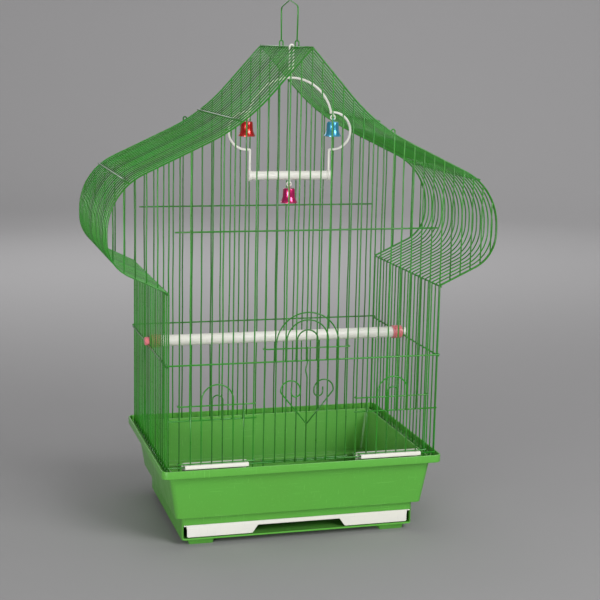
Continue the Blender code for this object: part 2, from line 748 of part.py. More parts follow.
def feed_door(name, side, finish):
    middle = side * FEED_CENTRE * PITCH
    bm = bmesh.new()
    door_bar(bm, middle, FEED_GUIDE * PITCH, FEED_FOOT_Z)
    obj = make_object(name, bm, finish)
    upper = bmesh.new()
    door_bar(upper, middle, FEED_GUIDE * PITCH, FEED_BAR_Z)
    combine(obj, upper)
    wires = bmesh.new()
    foot = FEED_FOOT_Z - WIRE / 2
    for half, steps in ((1.5, 8), (0.5, 6)):
        path = arch_path(middle, half * PITCH, foot, FEED_BAR_Z + FEED_ARCH_RISE, steps)
        sweep(wires, path, WIRE, BACK)
    for gaps in (1 - FEED_GUIDE, FEED_GUIDE - 1):
        x = middle + gaps * PITCH
        sweep(wires, [(x, -DOOR_Y, foot), (x, -DOOR_Y, FEED_BAR_Z + 2 * WIRE)], WIRE, BACK)
    combine(obj, wires)
    return set_origin(obj, (middle, -DOOR_Y, FEED_FOOT_Z))


def feed_cup(name, side, finish):
    """Trough inside the tub, hung by its neck on the foot wire of the front."""
    middle = side * FEED_CENTRE * PITCH
    top = CUP_NECK_Z + CUP_WALL
    rim = top - CUP_RIM_DROP
    bottom = top - CUP_HEIGHT
    front = -GUTTER_Y + RIM_WALL + CUP_SETBACK
    centre = (middle, front + CUP_DEPTH / 2)
    lip_half = FEED_GUIDE * PITCH - CUP_SIDE_GAP
    outside = (lip_half - CUP_EAR, CUP_DEPTH / 2)
    inside = (outside[0] - CUP_WALL, outside[1] - CUP_WALL)
    low_outside = (outside[0] - CUP_TAPER, outside[1] - CUP_TAPER)
    low_inside = (inside[0] - CUP_TAPER, inside[1] - CUP_TAPER)
    corner, inner_corner = CUP_CORNER, CUP_CORNER - CUP_WALL
    bm = bmesh.new()
    loft(bm, [
        rounded_rectangle(*low_outside, corner, bottom, centre=centre),
        rounded_rectangle(*outside, corner, rim, centre=centre),
        rounded_rectangle(*inside, inner_corner, rim, centre=centre),
        rounded_rectangle(*low_inside, inner_corner, bottom + CUP_WALL, centre=centre),
    ])
    obj = make_object(name, bm, finish, smooth=True)
    outer = -PANEL_Y - CUP_LIP_OUT
    lip = bmesh.new()
    outline = [
        (front, rim - CUP_WALL), (front, CUP_NECK_Z), (outer + CUP_WALL, CUP_NECK_Z),
        (outer + CUP_WALL, top - CUP_LIP_DROP), (outer, top - CUP_LIP_DROP),
        (outer, top - GAP), (outer + GAP, top), (front + CUP_WALL, top), (front + CUP_WALL, rim - CUP_WALL),
    ]
    prism(lip, outline, middle - lip_half, middle + lip_half, "X")
    return combine(obj, lip)


def perch(white, pink):
    """Dowel across the cage, in a grooved sleeve on the right and a grooved cap on the left.

    The dowel's right end and the cap have a neck that saddles the side belt rail.
    """
    y = PERCH_GAP_INDEX * SIDE_PITCH
    z = BELT_Z + SIDE_BELT_RISE + PERCH_RISE
    shoulder = WALL_X - WIRE - GAP
    neck = SIDE_PITCH / 2 - WIRE - PERCH_NECK_GAP
    tip = neck + PERCH_TIP_FLARE
    rail_x = WALL_X + RAIL_OUT
    end = rail_x + RAIL + GAP + PERCH_TIP_LENGTH
    head = [(0, end), (tip - PERCH_TIP_ROUND, end), (tip, end - PERCH_TIP_ROUND), (tip, rail_x - RAIL),
            (neck, rail_x - RAIL), (neck, shoulder)]
    bore, sleeve = PERCH_RADIUS + GAP, collar_profile(shoulder)
    start = shoulder - CAP_WALL - GAP
    stick = [*head, (PERCH_RADIUS, shoulder), (PERCH_RADIUS, -start), (0, -start)]
    closed = [*head, *sleeve, (bore, shoulder - CAP_WALL), (0, shoulder - CAP_WALL)]
    dowel = turned_piece("perch_dowel", stick, (0, y, z), white)
    cap = turned_piece("perch_collar_left", [(radius, -x) for radius, x in closed], (0, y, z), pink)
    turned_piece("perch_collar_right", [(bore, shoulder), *sleeve], (0, y, z), pink, ring=True)
    saddle_top = BELT_Z + SIDE_BELT_RISE + RAIL + GAP
    for piece, side in ((cap, -1), (dowel, 1)):
        saddle = bmesh.new()
        box(saddle, (side * rail_x - RAIL - GAP, y - PERCH_RADIUS, z - 2 * PERCH_RADIUS),
            (side * rail_x + RAIL + GAP, y + PERCH_RADIUS, saddle_top))
        combine(piece, saddle, "DIFFERENCE")


def collar_profile(end):
    """The outside of a collar with two grooves, from its outer end in to its bore."""
    points = []
    for i in range(COLLAR_STEPS + 1):
        groove = COLLAR_GROOVE if i % 3 == 2 else 0
        points.append((PERCH_RADIUS + GAP + COLLAR_WALL - groove, end - COLLAR_LENGTH * i / COLLAR_STEPS))
    return [*points, (PERCH_RADIUS + GAP, end - COLLAR_LENGTH)]


def turned_piece(name, profile, centre, finish, ring=False):
    """A smooth piece turned round an axis along X."""
    bm = bmesh.new()
    turned(bm, profile, "X", centre, ring=ring)
    return make_object(name, bm, finish, smooth=True)


def add_lug(obj, centre, toward):
    """Adds a small plate with a hole along X; its root reaches up or down to its carrier."""
    outer = LUG_HOLE + LUG_WALL
    root = outer + LUG_WALL
    bow = [(x, toward * z) for x, z in arc((0, 0), outer, 180, 360, 6)]
    outline = [(-outer, toward * root), *bow, (outer, toward * root)]
    hole = arc((0, 0), LUG_HOLE, 0, 360, 8)[:-1]
    plate = bmesh.new()
    prism(plate, outline, -LUG_HALF, LUG_HALF, "X")
    bmesh.ops.translate(plate, verts=plate.verts, vec=centre)
    cutter = bmesh.new()
    prism(cutter, hole, -2 * LUG_HALF, 2 * LUG_HALF, "X")
    bmesh.ops.translate(cutter, verts=cutter.verts, vec=centre)
    combine(obj, plate)
    combine(obj, cutter, "DIFFERENCE")


def oval_ring(bm, centre, half_x, half_z, tube, steps):
    """Adds a closed oval of wire in the XZ plane."""
    turns = [2 * pi * i / steps for i in range(steps)]
    path = [(centre[0] + half_x * cos(a), centre[1], centre[2] + half_z * sin(a)) for a in turns]
    sweep(bm, path, tube, BACK, 6, closed=True)


def swing(white, pivots):
    """Moulded frame with a hook over the ridge rail, and the bar that the bird sits on."""
    y = SWING_Y
    hook_r = RIDGE_RAIL + GAP + HOOK_TUBE
    top = RIDGE_Z - ARCH_DROP
    arch_drop = top - LOBE_Z - LOBE_RADIUS
    arch_end = ARCH_END_SHARE * LOBE_X
    arch_r = (arch_end ** 2 + arch_drop ** 2) / (2 * arch_drop)
    reach = degrees(atan2(arch_end, arch_r - arch_drop))
    lobe_start = 90 + degrees(asin((LOBE_X - arch_end) / LOBE_RADIUS)) + ARCH_LAP
    frame = bmesh.new()
    arch = arc((0, top - arch_r), arch_r, 90 + reach, 90 - reach, 12)
    sweep(frame, [(x, y, z) for x, z in arch], SWING_TUBE, BACK, 6)
    obj = make_object("swing_frame", frame, white, smooth=True)
    eye_top = SWING_BAR_Z + SWING_BAR_RADIUS + GAP + SWING_EYE_WALL / 2
    for side in (-1, 1):
        lobe = bmesh.new()
        half = arc((LOBE_X, LOBE_Z), LOBE_RADIUS, lobe_start, -90, 10)
        leg = [(SWING_LEG_X, LOBE_Z - LOBE_RADIUS), (SWING_LEG_X, eye_top)]
        sweep(lobe, [(side * x, y, z) for x, z in [*half, *leg]], SWING_TUBE, BACK, 6)
        combine(obj, lobe)
        eye = bmesh.new()
        outer = SWING_BAR_RADIUS + GAP + SWING_EYE_WALL
        ends = [side * SWING_LEG_X - SWING_EYE_LENGTH / 2, side * SWING_LEG_X + SWING_EYE_LENGTH / 2]
        prism(eye, arc((y, SWING_BAR_Z), outer, *EVEN_TURN, 16)[:-1], *ends, "X")
        combine(obj, eye)
    bore = bmesh.new()
    hole = arc((y, SWING_BAR_Z), SWING_BAR_RADIUS + GAP, *EVEN_TURN, 16)[:-1]
    prism(bore, hole, -2 * SWING_LEG_X, 2 * SWING_LEG_X, "X")
    combine(obj, bore, "DIFFERENCE")
    hook = bmesh.new()
    join = RIDGE_Z - HOOK_DROP
    tail = join + HOOK_TAIL
    path = [(0, top), (0, join), (hook_r, join + HOOK_SPREAD), *arc((0, RIDGE_Z), hook_r, 0, 180, 6),
            (-hook_r, tail + HOOK_BEND), (-hook_r + HOOK_TUCK, tail)]
    sweep(hook, [(x, y, z) for x, z in path], HOOK_TUBE, BACK, 6)
    combine(obj, hook)
    lug_z = LOBE_Z + LOBE_RADIUS - SWING_TUBE - LUG_DROP
    for side in (-1, 1):
        add_lug(obj, (side * LOBE_X, y, lug_z), 1)
    hang_point = (0, y, RIDGE_Z + hook_r)
    set_origin(obj, hang_point)

    bar = bmesh.new()
    end = SWING_LEG_X + SWING_EYE_LENGTH / 2 + SWING_BAR_END
    profile = [(0, -end), (SWING_BAR_RADIUS - SWING_BAR_ROUND, -end),
               (SWING_BAR_RADIUS, -end + SWING_BAR_ROUND)]
    profile += [(radius, -height) for radius, height in reversed(profile)]
    turned(bar, profile, "X", (0, y, SWING_BAR_Z))
    bar_obj = make_object("swing_bar", bar, white, smooth=True)
    bar_lug_z = SWING_BAR_Z - SWING_BAR_RADIUS - LUG_DROP
    add_lug(bar_obj, (0, y, bar_lug_z), 1)
    hang(obj, pivots)
    hang(bar_obj, obj)
    return obj, [(-LOBE_X, y, lug_z), (LOBE_X, y, lug_z), (0, y, bar_lug_z)]


def bell_profile(crown, lip):
    """Section of a bell's wall, from the axis outside the crown round to the axis inside it."""
    foot = BELL_BODY + BELL_DRAFT
    return [
        (0, crown), (BELL_TOP, crown), (BELL_BODY, crown - BELL_ROUND), (foot, lip + BELL_FLARE),
        (BELL_LIP, lip + BELL_EDGE), (BELL_LIP, lip), (BELL_LIP - BELL_WALL, lip),
        (foot - BELL_WALL, lip + BELL_FLARE - BELL_EDGE), (BELL_BODY - BELL_WALL, crown - BELL_ROUND),
        (BELL_TOP - BELL_WALL, crown - BELL_WALL), (0, crown - BELL_WALL),
    ]


def bell(name, eye, colour, white, metal, parent):
    """Bell with a crown lug, the link that it hangs by, and a clapper on a lug inside."""
    eye = Vector(eye)
    slack = LUG_HOLE - LINK_TUBE - 1.5 * GAP
    link = eye - UP * (slack + LINK_HALF_Z)
    crown_eye = link - UP * (LINK_HALF_Z + slack)
    crown = crown_eye.z - LUG_HOLE - LUG_WALL / 3
    lip = crown - BELL_HEIGHT
    inside_eye = Vector((eye.x, eye.y, crown - BELL_WALL - LUG_HOLE - LUG_WALL))
    shell = bmesh.new()
    turned(shell, bell_profile(crown, lip), "Z", (eye.x, eye.y, 0), 12)
    shell_obj = make_object(f"{name}_shell", shell, colour, smooth=True)
    add_lug(shell_obj, crown_eye, -1)
    add_lug(shell_obj, inside_eye, 1)

    ring = bmesh.new()
    oval_ring(ring, link, LINK_HALF_X, LINK_HALF_Z, LINK_TUBE, 10)
    ring_obj = make_object(f"{name}_link", ring, white, smooth=True)

    loop = bmesh.new()
    hold = inside_eye - UP * (LUG_HOLE - CLAPPER_WIRE - 1.5 * GAP + CLAPPER_EYE)
    oval_ring(loop, hold, CLAPPER_EYE, CLAPPER_EYE, CLAPPER_WIRE, 8)
    clapper_obj = make_object(f"{name}_clapper", loop, metal, smooth=True)
    stem = bmesh.new()
    stem_top = hold.z - CLAPPER_EYE
    ball_z = inside_eye.z - CLAPPER_LENGTH
    ball = arc((0, ball_z), CLAPPER_BALL, -90, 75, 4)[1:]
    turned(stem, [(0, ball_z - CLAPPER_BALL), *ball, (CLAPPER_WIRE, stem_top), (0, stem_top)],
           "Z", (eye.x, eye.y, 0), 8)
    combine(clapper_obj, stem)

    set_origin(shell_obj, eye)
    set_origin(ring_obj, eye)
    set_origin(clapper_obj, inside_eye)
    hang(shell_obj, parent)
    hang(ring_obj, shell_obj)
    hang(clapper_obj, shell_obj)


def hanger(finish):
    """Wire bail over the ridge; the eye on each foot turns on the ridge rail."""
    foot = HANGER_GAPS * SIDE_PITCH / 2
    eye_r = RIDGE_RAIL + GAP + HANGER_TUBE
    eye_top = RIDGE_Z + HANGER_EYE_RISE + eye_r
    shoulder = (foot + HANGER_BOW, RIDGE_Z + HANGER_SHOULDER)
    crest = (0, RIDGE_Z + HANGER_HEIGHT - HANGER_TUBE)
    corner = fillet((foot, eye_top), shoulder, crest, HANGER_CORNER, 4)
    half = [(foot, eye_top), *corner]
    path = [*half, crest, *[(-a, b) for a, b in reversed(half)]]
    bm = bmesh.new()
    sweep(bm, [(0, HANGER_Y + a, b) for a, b in path], HANGER_TUBE, ACROSS, 6)
    obj = make_object("hanger", bm, finish, smooth=True)
    for side in (-1, 1):
        eye = bmesh.new()
        loop = [*arc((0, RIDGE_Z + HANGER_EYE_RISE), eye_r, 0, 180, 6),
                *arc((0, RIDGE_Z), eye_r, 180, 360, 6)]
        sweep(eye, [(x, HANGER_Y + side * foot, z) for x, z in loop], HANGER_TUBE, BACK, 6, closed=True)
        combine(obj, eye)
    return set_origin(obj, (0, HANGER_Y, RIDGE_Z))


def build():
    clear_scene()
    wire_green = material("green_wire", (0.055, 0.28, 0.05), 0.35)
    tub_green = material("green_plastic", (0.12, 0.42, 0.075), 0.40)
    white = material("white_plastic", (0.86, 0.86, 0.84), 0.40)
    pink = material("pink_plastic", (0.80, 0.22, 0.27), 0.40)
    red = material("red_gloss", (0.75, 0.05, 0.04), 0.25)
    blue = material("blue_gloss", (0.20, 0.55, 0.80), 0.25)
    magenta = material("magenta_gloss", (0.75, 0.05, 0.30), 0.25)
    steel = material("bell_steel", (0.55, 0.55, 0.55), 0.35, 1.0)

    base_tub(tub_green)
    litter_drawer(white)
    front_panel(wire_green)
    back_panel(wire_green)
    roof_sheet("left_wall_and_roof", -1, wire_green)
    roof_sheet("right_wall_and_roof", 1, wire_green)
    rails(wire_green)
    main_door(wire_green)
    for name, side in (("left", -1), ("right", 1)):
        feed_door(f"feed_door_{name}", side, wire_green)
        feed_cup(f"feed_cup_{name}", side, white)
    perch(white, pink)
    swing_pivot = pivot("swing_pivot", (0, SWING_Y, RIDGE_Z))
    frame, eyes = swing(white, swing_pivot)
    for name, eye, colour in zip(("red_bell", "blue_bell", "magenta_bell"), eyes, (red, blue, magenta)):
        bell(name, eye, colour, white, steel, frame)
    hanger(wire_green)


if __name__ == "__main__":
    build()
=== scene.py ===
"""Looks of a house-shaped wire bird cage on a plastic tub, built around its packed frame.

Metres, +Z up, in the frame's own place: the origin is on the floor under the middle of the
cage, +X is to the right of someone facing the doors and +Y points to the back of the cage.
"""

import random
from math import asin, atan2, cos, degrees, pi, radians, sin, sqrt, tan

import bmesh
import bpy
from bpy.props import FloatProperty, FloatVectorProperty, PointerProperty
from mathutils import Matrix, Vector


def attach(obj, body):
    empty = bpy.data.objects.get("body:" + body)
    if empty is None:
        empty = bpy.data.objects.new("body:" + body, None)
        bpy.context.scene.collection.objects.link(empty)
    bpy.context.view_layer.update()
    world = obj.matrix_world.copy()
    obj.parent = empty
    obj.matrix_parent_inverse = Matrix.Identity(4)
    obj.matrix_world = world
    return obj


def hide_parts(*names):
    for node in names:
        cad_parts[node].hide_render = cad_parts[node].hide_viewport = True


bl_info = {
    "name": "Wire bird cage",
    "version": (1, 0, 0),
    "blender": (4, 5, 0),
    "location": "3D View > Sidebar > Bird cage",
    "description": "Builds the wires, mouldings, bells and finishes of a bird cage around its frame",
    "category": "Add Mesh",
}

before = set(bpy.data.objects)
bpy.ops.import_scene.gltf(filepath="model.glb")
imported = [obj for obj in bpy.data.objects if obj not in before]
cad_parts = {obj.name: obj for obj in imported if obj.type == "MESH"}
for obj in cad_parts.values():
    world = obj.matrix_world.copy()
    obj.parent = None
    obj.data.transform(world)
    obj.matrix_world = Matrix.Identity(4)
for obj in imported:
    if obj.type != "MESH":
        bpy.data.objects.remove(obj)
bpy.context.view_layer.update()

# The cage's grid, where its wires stand across it and along it, and its stacked heights
CAGE_WIDTH, CAGE_DEPTH = 0.333, 0.2414
FRONT_GAPS, SIDE_GAPS = 26, 20
PITCH, SIDE_PITCH = CAGE_WIDTH / FRONT_GAPS, CAGE_DEPTH / SIDE_GAPS
GRID = [index * PITCH for index in range(-FRONT_GAPS // 2, FRONT_GAPS // 2 + 1)]
DEPTHS = [index * SIDE_PITCH - CAGE_DEPTH / 2 for index in range(SIDE_GAPS + 1)]
FOOT_HEIGHT = 0.0074
BASE_TOP = FOOT_HEIGHT + 0.0301
TUB_TOP = BASE_TOP + 0.0645
EAVE_Z = TUB_TOP + 0.211
RIDGE_Z = EAVE_Z + 0.2816
WALL_X = CAGE_WIDTH / 2
SHOULDER_X = WALL_X + 0.071
SHOULDER_LOW, SHOULDER_HIGH, SLOPE_BREAK = 0.0334, 0.1175, 0.1932
SLOPE_BREAK_X = 0.33 * SHOULDER_X
BELT_Z, SILL_Z, FOOT_RAIL_Z = TUB_TOP + 0.1257, TUB_TOP + 0.059, TUB_TOP + 0.0025
SIDE_BELT_Z = BELT_Z - 0.0022
UPPER_Z = EAVE_Z + 0.071
GUTTER_Z = TUB_TOP - 0.008

# Half sides of the frame's square wires, which set how far apart the layers lie
WIRE, RAIL, FRAME_WIRE, RIDGE_RAIL, GAP = 0.0008, 0.0009, 0.00095, 0.0010, 0.0003
PANEL_Y = CAGE_DEPTH / 2 + WIRE + GAP + FRAME_WIRE
RAIL_OUT = FRAME_WIRE + GAP + RAIL
RAIL_Y = PANEL_Y + RAIL_OUT
DOOR_Y = RAIL_Y + RAIL + GAP + WIRE
DOOR_BAR_Y = DOOR_Y - 2 * WIRE + GAP
HEART_Y = DOOR_Y + 2 * WIRE - GAP

# Doors and roof clips, in gaps of the front
MAIN_GUIDE, FEED_CENTRE, FEED_GUIDE, CLIP_INDEX = 4, 8.5, 3.5, 8
MAIN_FOOT_Z = FOOT_RAIL_Z + RAIL + GAP + WIRE
MAIN_BAR_Z = BELT_Z + 0.0155
HEART_TIP_Z, HEART_CURL_Z = BELT_Z - 0.0767, BELT_Z - 0.0352
CUP_NECK_Z = FOOT_RAIL_Z + FRAME_WIRE + GAP
FEED_FOOT_Z = CUP_NECK_Z + 0.0015 + GAP + WIRE
FEED_BAR_Z = SILL_Z + 0.0175

# Tub, base and drawer
RIM_X, RIM_Y = WALL_X + 0.0083, PANEL_Y + 0.00875
GUTTER_X, GUTTER_Y = WALL_X - 0.0035, CAGE_DEPTH / 2 - 0.00185
BASE_X, BASE_Y = RIM_X - 0.0283, RIM_Y - 0.0241
BASE_WALL = 0.0016
INSIDE_X, INSIDE_Y = BASE_X - BASE_WALL, BASE_Y - BASE_WALL
INSIDE_FLOOR = FOOT_HEIGHT + 0.002
DRAWER_TOP = BASE_TOP - 0.0115
DRAWER_FRONT = 0.001 - BASE_Y
DRAWER_WALL, DRAWER_FLANGE, DRAWER_ROOM = 0.0015, 0.0038, 0.0007
TUB_CORNER, RIM_WALL = 0.008, 0.0017

# Swing and bells
SWING_Y, HANGER_Y = -2.5 * SIDE_PITCH, -1.5 * SIDE_PITCH
LOBE_X, LOBE_Z, LOBE_R = 0.6928 * SLOPE_BREAK_X, RIDGE_Z - 0.1012, 0.0234
SWING_LEG_X = LOBE_X - 0.0043
SWING_BAR_Z, SWING_BAR_R = RIDGE_Z - 0.1555, 0.0055
SWING_EYE, BELL_WALL = 0.0018, 0.001
LUG_HOLE, LUG_WALL = 0.0017, 0.0009

UP, ACROSS, BACK = Vector((0, 0, 1)), Vector((1, 0, 0)), Vector((0, 1, 0))
SIDES = (("left", -1), ("right", 1))
BELLS = ("red", "blue", "magenta")

# About the longest leg of a cross wire, and the edge of a shape that only cuts
WIRE_STEP, SHARP = 0.06, 0.00001


def length_property(label, use, value, most=0.002, least=0.0003):
    return FloatProperty(name=label, description=use, default=value, min=least, max=most,
                         precision=5, subtype="DISTANCE", unit="LENGTH")


class WireSizes(bpy.types.PropertyGroup):
    """Gauges of the welded wire"""
    upright: length_property("Upright radius", "Radius of the thin wires of walls, roof and doors", 0.00088)
    rail: length_property("Rail radius", "Radius of the cross wires", 0.00098)
    outline: length_property("Outline radius", "Radius of the wire round the front and the back", 0.00105)
    weld: length_property("Weld bead", "Half width of the painted bead at each weld", 0.00125, 0.003)
    sway: length_property("Sway", "How far a wire wanders from its straight line", 0.00028, 0.001, 0)


class MouldedSizes(bpy.types.PropertyGroup):
    """Edges of the moulded parts"""
    tub_edge: length_property("Tub edge", "Radius that rounds the edges of the tub", 0.0007, 0.001, 0.0001)
    white_edge: length_property("White edge", "Radius that rounds the edges of the drawer and the cups",
                                0.0005, 0.0007, 0.0001)


def colour_property(label, use, value):
    return FloatVectorProperty(name=label, description=use, default=value, size=3, min=0, max=1,
                               subtype="COLOR")


def power_property(label, use, value):
    return FloatProperty(name=label, description=use, default=value, min=0, subtype="POWER", unit="POWER")


class CageColours(bpy.types.PropertyGroup):
    """Colours of the finishes"""
    wire: colour_property("Wire", "Powder coat on all the wires", (0.018, 0.205, 0.007))
    tub: colour_property("Tub", "Green plastic of the tub", (0.104, 0.400, 0.046))
    white: colour_property("White", "Drawer, cups, perch and swing", (0.80, 0.79, 0.73))
    pink: colour_property("Pink", "Collars on the perch", (0.74, 0.20, 0.22))
    red: colour_property("Red", "Lacquer of the left bell", (0.62, 0.012, 0.010))
    blue: colour_property("Blue", "Lacquer of the right bell", (0.065, 0.42, 0.66))
    magenta: colour_property("Magenta", "Lacquer of the bell under the swing's bar", (0.62, 0.012, 0.15))
    steel: colour_property("Steel", "Plain steel of the clappers", (0.56, 0.56, 0.55))


class StageSettings(bpy.types.PropertyGroup):
    """Floor, backdrop and lights"""
    floor: colour_property("Floor", "Floor and backdrop", (0.345, 0.34, 0.345))
    key: power_property("Key", "Power of the main soft light", 46)
    fill: power_property("Fill", "Power of the soft light on the other side", 30)
    top: power_property("Top", "Power of the overhead light", 8)
    rear: power_property("Rear", "Power of the light behind the cage, on its roof", 7)
    paper: power_property("Paper", "Power of the light that faces the backdrop", 40)
    room: FloatProperty(name="Room", description="Strength of the light from all round", default=0.42, min=0)


def group_property(kind, label):
    return PointerProperty(type=kind, name=label, description=kind.__doc__)


class CageSettings(bpy.types.PropertyGroup):
    """Everything a user would change"""
    wires: group_property(WireSizes, "Wires")
    moulded: group_property(MouldedSizes, "Mouldings")
    colours: group_property(CageColours, "Colours")
    stage: group_property(StageSettings, "Stage")


def settings():
    return bpy.context.scene.bird_cage


# Paths

def arc(centre, radius, start, end, steps):
    """Points on an arc in a plane, its angles in degrees."""
    turns = [radians(start + (end - start) * i / steps) for i in range(steps + 1)]
    return [(centre[0] + radius * cos(a), centre[1] + radius * sin(a)) for a in turns]


def standing(points, y):
    """The (x, z) points of an upright plane, at their depth."""
    return [(x, y, z) for x, z in points]


def fillet(before, corner, after, radius, steps):
    """Points of the arc that rounds a corner between two straight runs, in two or three dimensions."""
    before, corner, after = Vector(before), Vector(corner), Vector(after)
    inward, outward = before - corner, after - corner
    room = 0.48 * min(inward.length, outward.length)
    inward.normalize()
    outward.normalize()
    half = inward.angle(outward) / 2
    reach = min(radius / tan(half), room)
    centre = corner + (inward + outward).normalized() * reach / cos(half)
    first, last = corner + inward * reach - centre, corner + outward * reach - centre
    whole = pi - 2 * half
    return [
        centre + (first * sin(whole * (1 - i / steps)) + last * sin(whole * i / steps)) / sin(whole)
        for i in range(steps + 1)
    ]


def softened(points, radius, steps=3, closed=False, least=12):
    """A path whose corners sharper than some degrees are rounded."""
    points = [Vector(point) for point in points]
    count = len(points)
    made = []
    for i, point in enumerate(points):
        before, after = points[i - 1], points[(i + 1) % count]
        if not closed and i in (0, count - 1):
            made.append(point)
        elif degrees((before - point).angle(after - point)) > 180 - least:
            made.append(point)
        else:
            made += fillet(before, point, after, radius, steps)
    return made


def spaced(path, step):
    """The path with points added, so that its legs are about step long or shorter."""
    made = [Vector(path[0])]
    for point in path[1:]:
        start, point = made[-1], Vector(point)
        count = max(1, round((point - start).length / step))
        made += [start.lerp(point, i / count) for i in range(1, count + 1)]
    return made


def swayed(path, amount, way, draw, step=0.026):
    """The path wandering smoothly along way, as a hand-straightened wire does; its ends stay."""
    calm = 0.02
    path = spaced(path, step)
    waves = [(draw.uniform(0.6, 1) * amount / k, draw.uniform(0.045, 0.07) * k, draw.uniform(0, 2 * pi))
             for k in (1, 2)]
    total = sum((b - a).length for a, b in zip(path, path[1:]))
    run, made = 0, [path[0]]
    for a, b in zip(path, path[1:]):
        run += (b - a).length
        ease = min(1, (total - run) / calm, run / calm)
        shift = sum(size * sin(run / length * pi + phase) for size, length, phase in waves)
        made.append(b + way * ease * shift)
    return made


# Meshes

def new_mesh():
    """A bmesh whose points carry the number of the strand that they belong to."""
    bm = bmesh.new()
    bm.verts.layers.float.new("strand")
    return bm


def bridged(bm, low, high):
    """Adds the faces between two rings; a ring of one point is a tip."""
    count = max(len(low), len(high))
    for k in range(count):
        n = (k + 1) % count
        corners = [low[k % len(low)], low[n % len(low)], high[n % len(high)], high[k % len(high)]]
        bm.faces.new(list(dict.fromkeys(corners)))


def tube(bm, path, radius, draw, sides=8, closed=False):
    """Adds round wire along a path. Its cut ends are a little domed."""
    dome, lip, lip_share = 0.35, 0.25, 0.7
    path = [Vector(point) for point in path]
    count = len(path)
    legs = [(path[(i + 1) % count] - path[i]).normalized() for i in range(count)]
    if not closed:
        legs[-1] = legs[-2]
        path[0] = path[0] + legs[0] * dome * radius
        path[-1] = path[-1] - legs[-1] * dome * radius
    before = [legs[i - 1] if closed or i else legs[0] for i in range(count)]
    ways = [(a + b).normalized() for a, b in zip(before, legs)]
    side = ways[0].orthogonal().normalized()
    layer = bm.verts.layers.float["strand"]
    strand = draw.random()
    turns = [2 * pi * k / sides for k in range(sides)]

    def ring(point, way, size):
        above = way.cross(side)
        verts = [bm.verts.new(point + size * (cos(a) * side + sin(a) * above)) for a in turns]
        for vert in verts:
            vert[layer] = strand
        return verts

    rings = []
    for i, (point, way) in enumerate(zip(path, ways)):
        if i:
            side = ways[i - 1].rotation_difference(way) @ side
        side = (side - side.dot(way) * way).normalized()
        if i == 0 and not closed:
            rings.append(ring(point - way * lip * radius, way, lip_share * radius))
        rings.append(ring(point, way, radius))
        if i == count - 1 and not closed:
            rings.append(ring(point + way * lip * radius, way, lip_share * radius))
    for low, high in zip(rings, rings[1:] + rings[:1] if closed else rings[1:]):
        bridged(bm, low, high)
    if not closed:
        for end, point, way in ((rings[0], path[0], -ways[0]), (rings[-1], path[-1], ways[-1])):
            tip = bm.verts.new(point + way * dome * radius)
            tip[layer] = strand
            bridged(bm, end, [tip])


def bead(bm, centre, size, draw):
    """Adds the flattened drop that paint and melted steel leave at a weld."""
    place = Matrix.Translation(Vector(centre)) @ Matrix.Rotation(draw.uniform(0, pi), 4, "Z")
    sizes = [s * draw.uniform(0.85, 1.1) for s in size]
    place = place @ Matrix.Diagonal((*sizes, 1))
    made = bmesh.ops.create_icosphere(bm, subdivisions=1, radius=1, matrix=place)
    layer = bm.verts.layers.float["strand"]
    for vert in made["verts"]:
        vert[layer] = 0.5


def rounded_rectangle(half_x, half_y, radius, z, steps=8, centre=(0, 0)):
    """A level ring of points with round corners."""
    points = []
    for quarter, (sx, sy) in enumerate(((1, 1), (-1, 1), (-1, -1), (1, -1))):
        corner = (centre[0] + sx * (half_x - radius), centre[1] + sy * (half_y - radius))
        points += arc(corner, radius, 90 * quarter, 90 * quarter + 90, steps)
    return [(x, y, z) for x, y in points]


def loft(bm, rings):
    """Adds a closed skin over rings of equal count, with a cap on the first and the last."""
    made = [[bm.verts.new(point) for point in ring] for ring in rings]
    for low, high in zip(made, made[1:]):
        bridged(bm, low, high)
    bm.faces.new(made[0])
    bm.faces.new(made[-1])


def turned(bm, profile, axis="Z", centre=(0, 0, 0), segments=40, ring=False):
    """Adds a solid turned from (radius, height) points; the profile of a ring is a loop off the axis."""
    place = Matrix.Rotation(pi / 2, 3, "Y") if axis == "X" else Matrix.Identity(3)
    spin = [2 * pi * (k + 0.5) / segments for k in range(segments)]
    made = []
    for radius, height in profile:
        points = [(0, 0, height)]
        if radius > 1e-7:
            points = [(radius * cos(a), radius * sin(a), height) for a in spin]
        made.append([bm.verts.new(place @ Vector(p) + Vector(centre)) for p in points])
    for low, high in zip(made, made[1:]):
        bridged(bm, low, high)
    if ring:
        bridged(bm, made[-1], made[0])


def inset(outline, amount):
    """A flat outline moved inwards by an amount; it runs anticlockwise."""
    made = []
    count = len(outline)
    for i, point in enumerate(outline):
        point = Vector(point)
        a = (point - Vector(outline[i - 1])).normalized()
        b = (Vector(outline[(i + 1) % count]) - point).normalized()
        normal = Vector((-a.y - b.y, a.x + b.x)).normalized()
        made.append(point + normal * amount / max(0.3, normal.dot(Vector((-a.y, a.x)))))
    return made


def plain_object(name, bm):
    bmesh.ops.recalc_face_normals(bm, faces=bm.faces)
    mesh = bpy.data.meshes.new(name)
    bm.to_mesh(mesh)
    bm.free()
    made = bpy.data.objects.new(name, mesh)
    bpy.context.scene.collection.objects.link(made)
    return made


def lofted_object(name, rings):
    bm = bmesh.new()
    loft(bm, rings)
    return plain_object(name, bm)


def turned_object(name, profile, *place, **shape):
    bm = bmesh.new()
    turned(bm, profile, *place, **shape)
    return plain_object(name, bm)


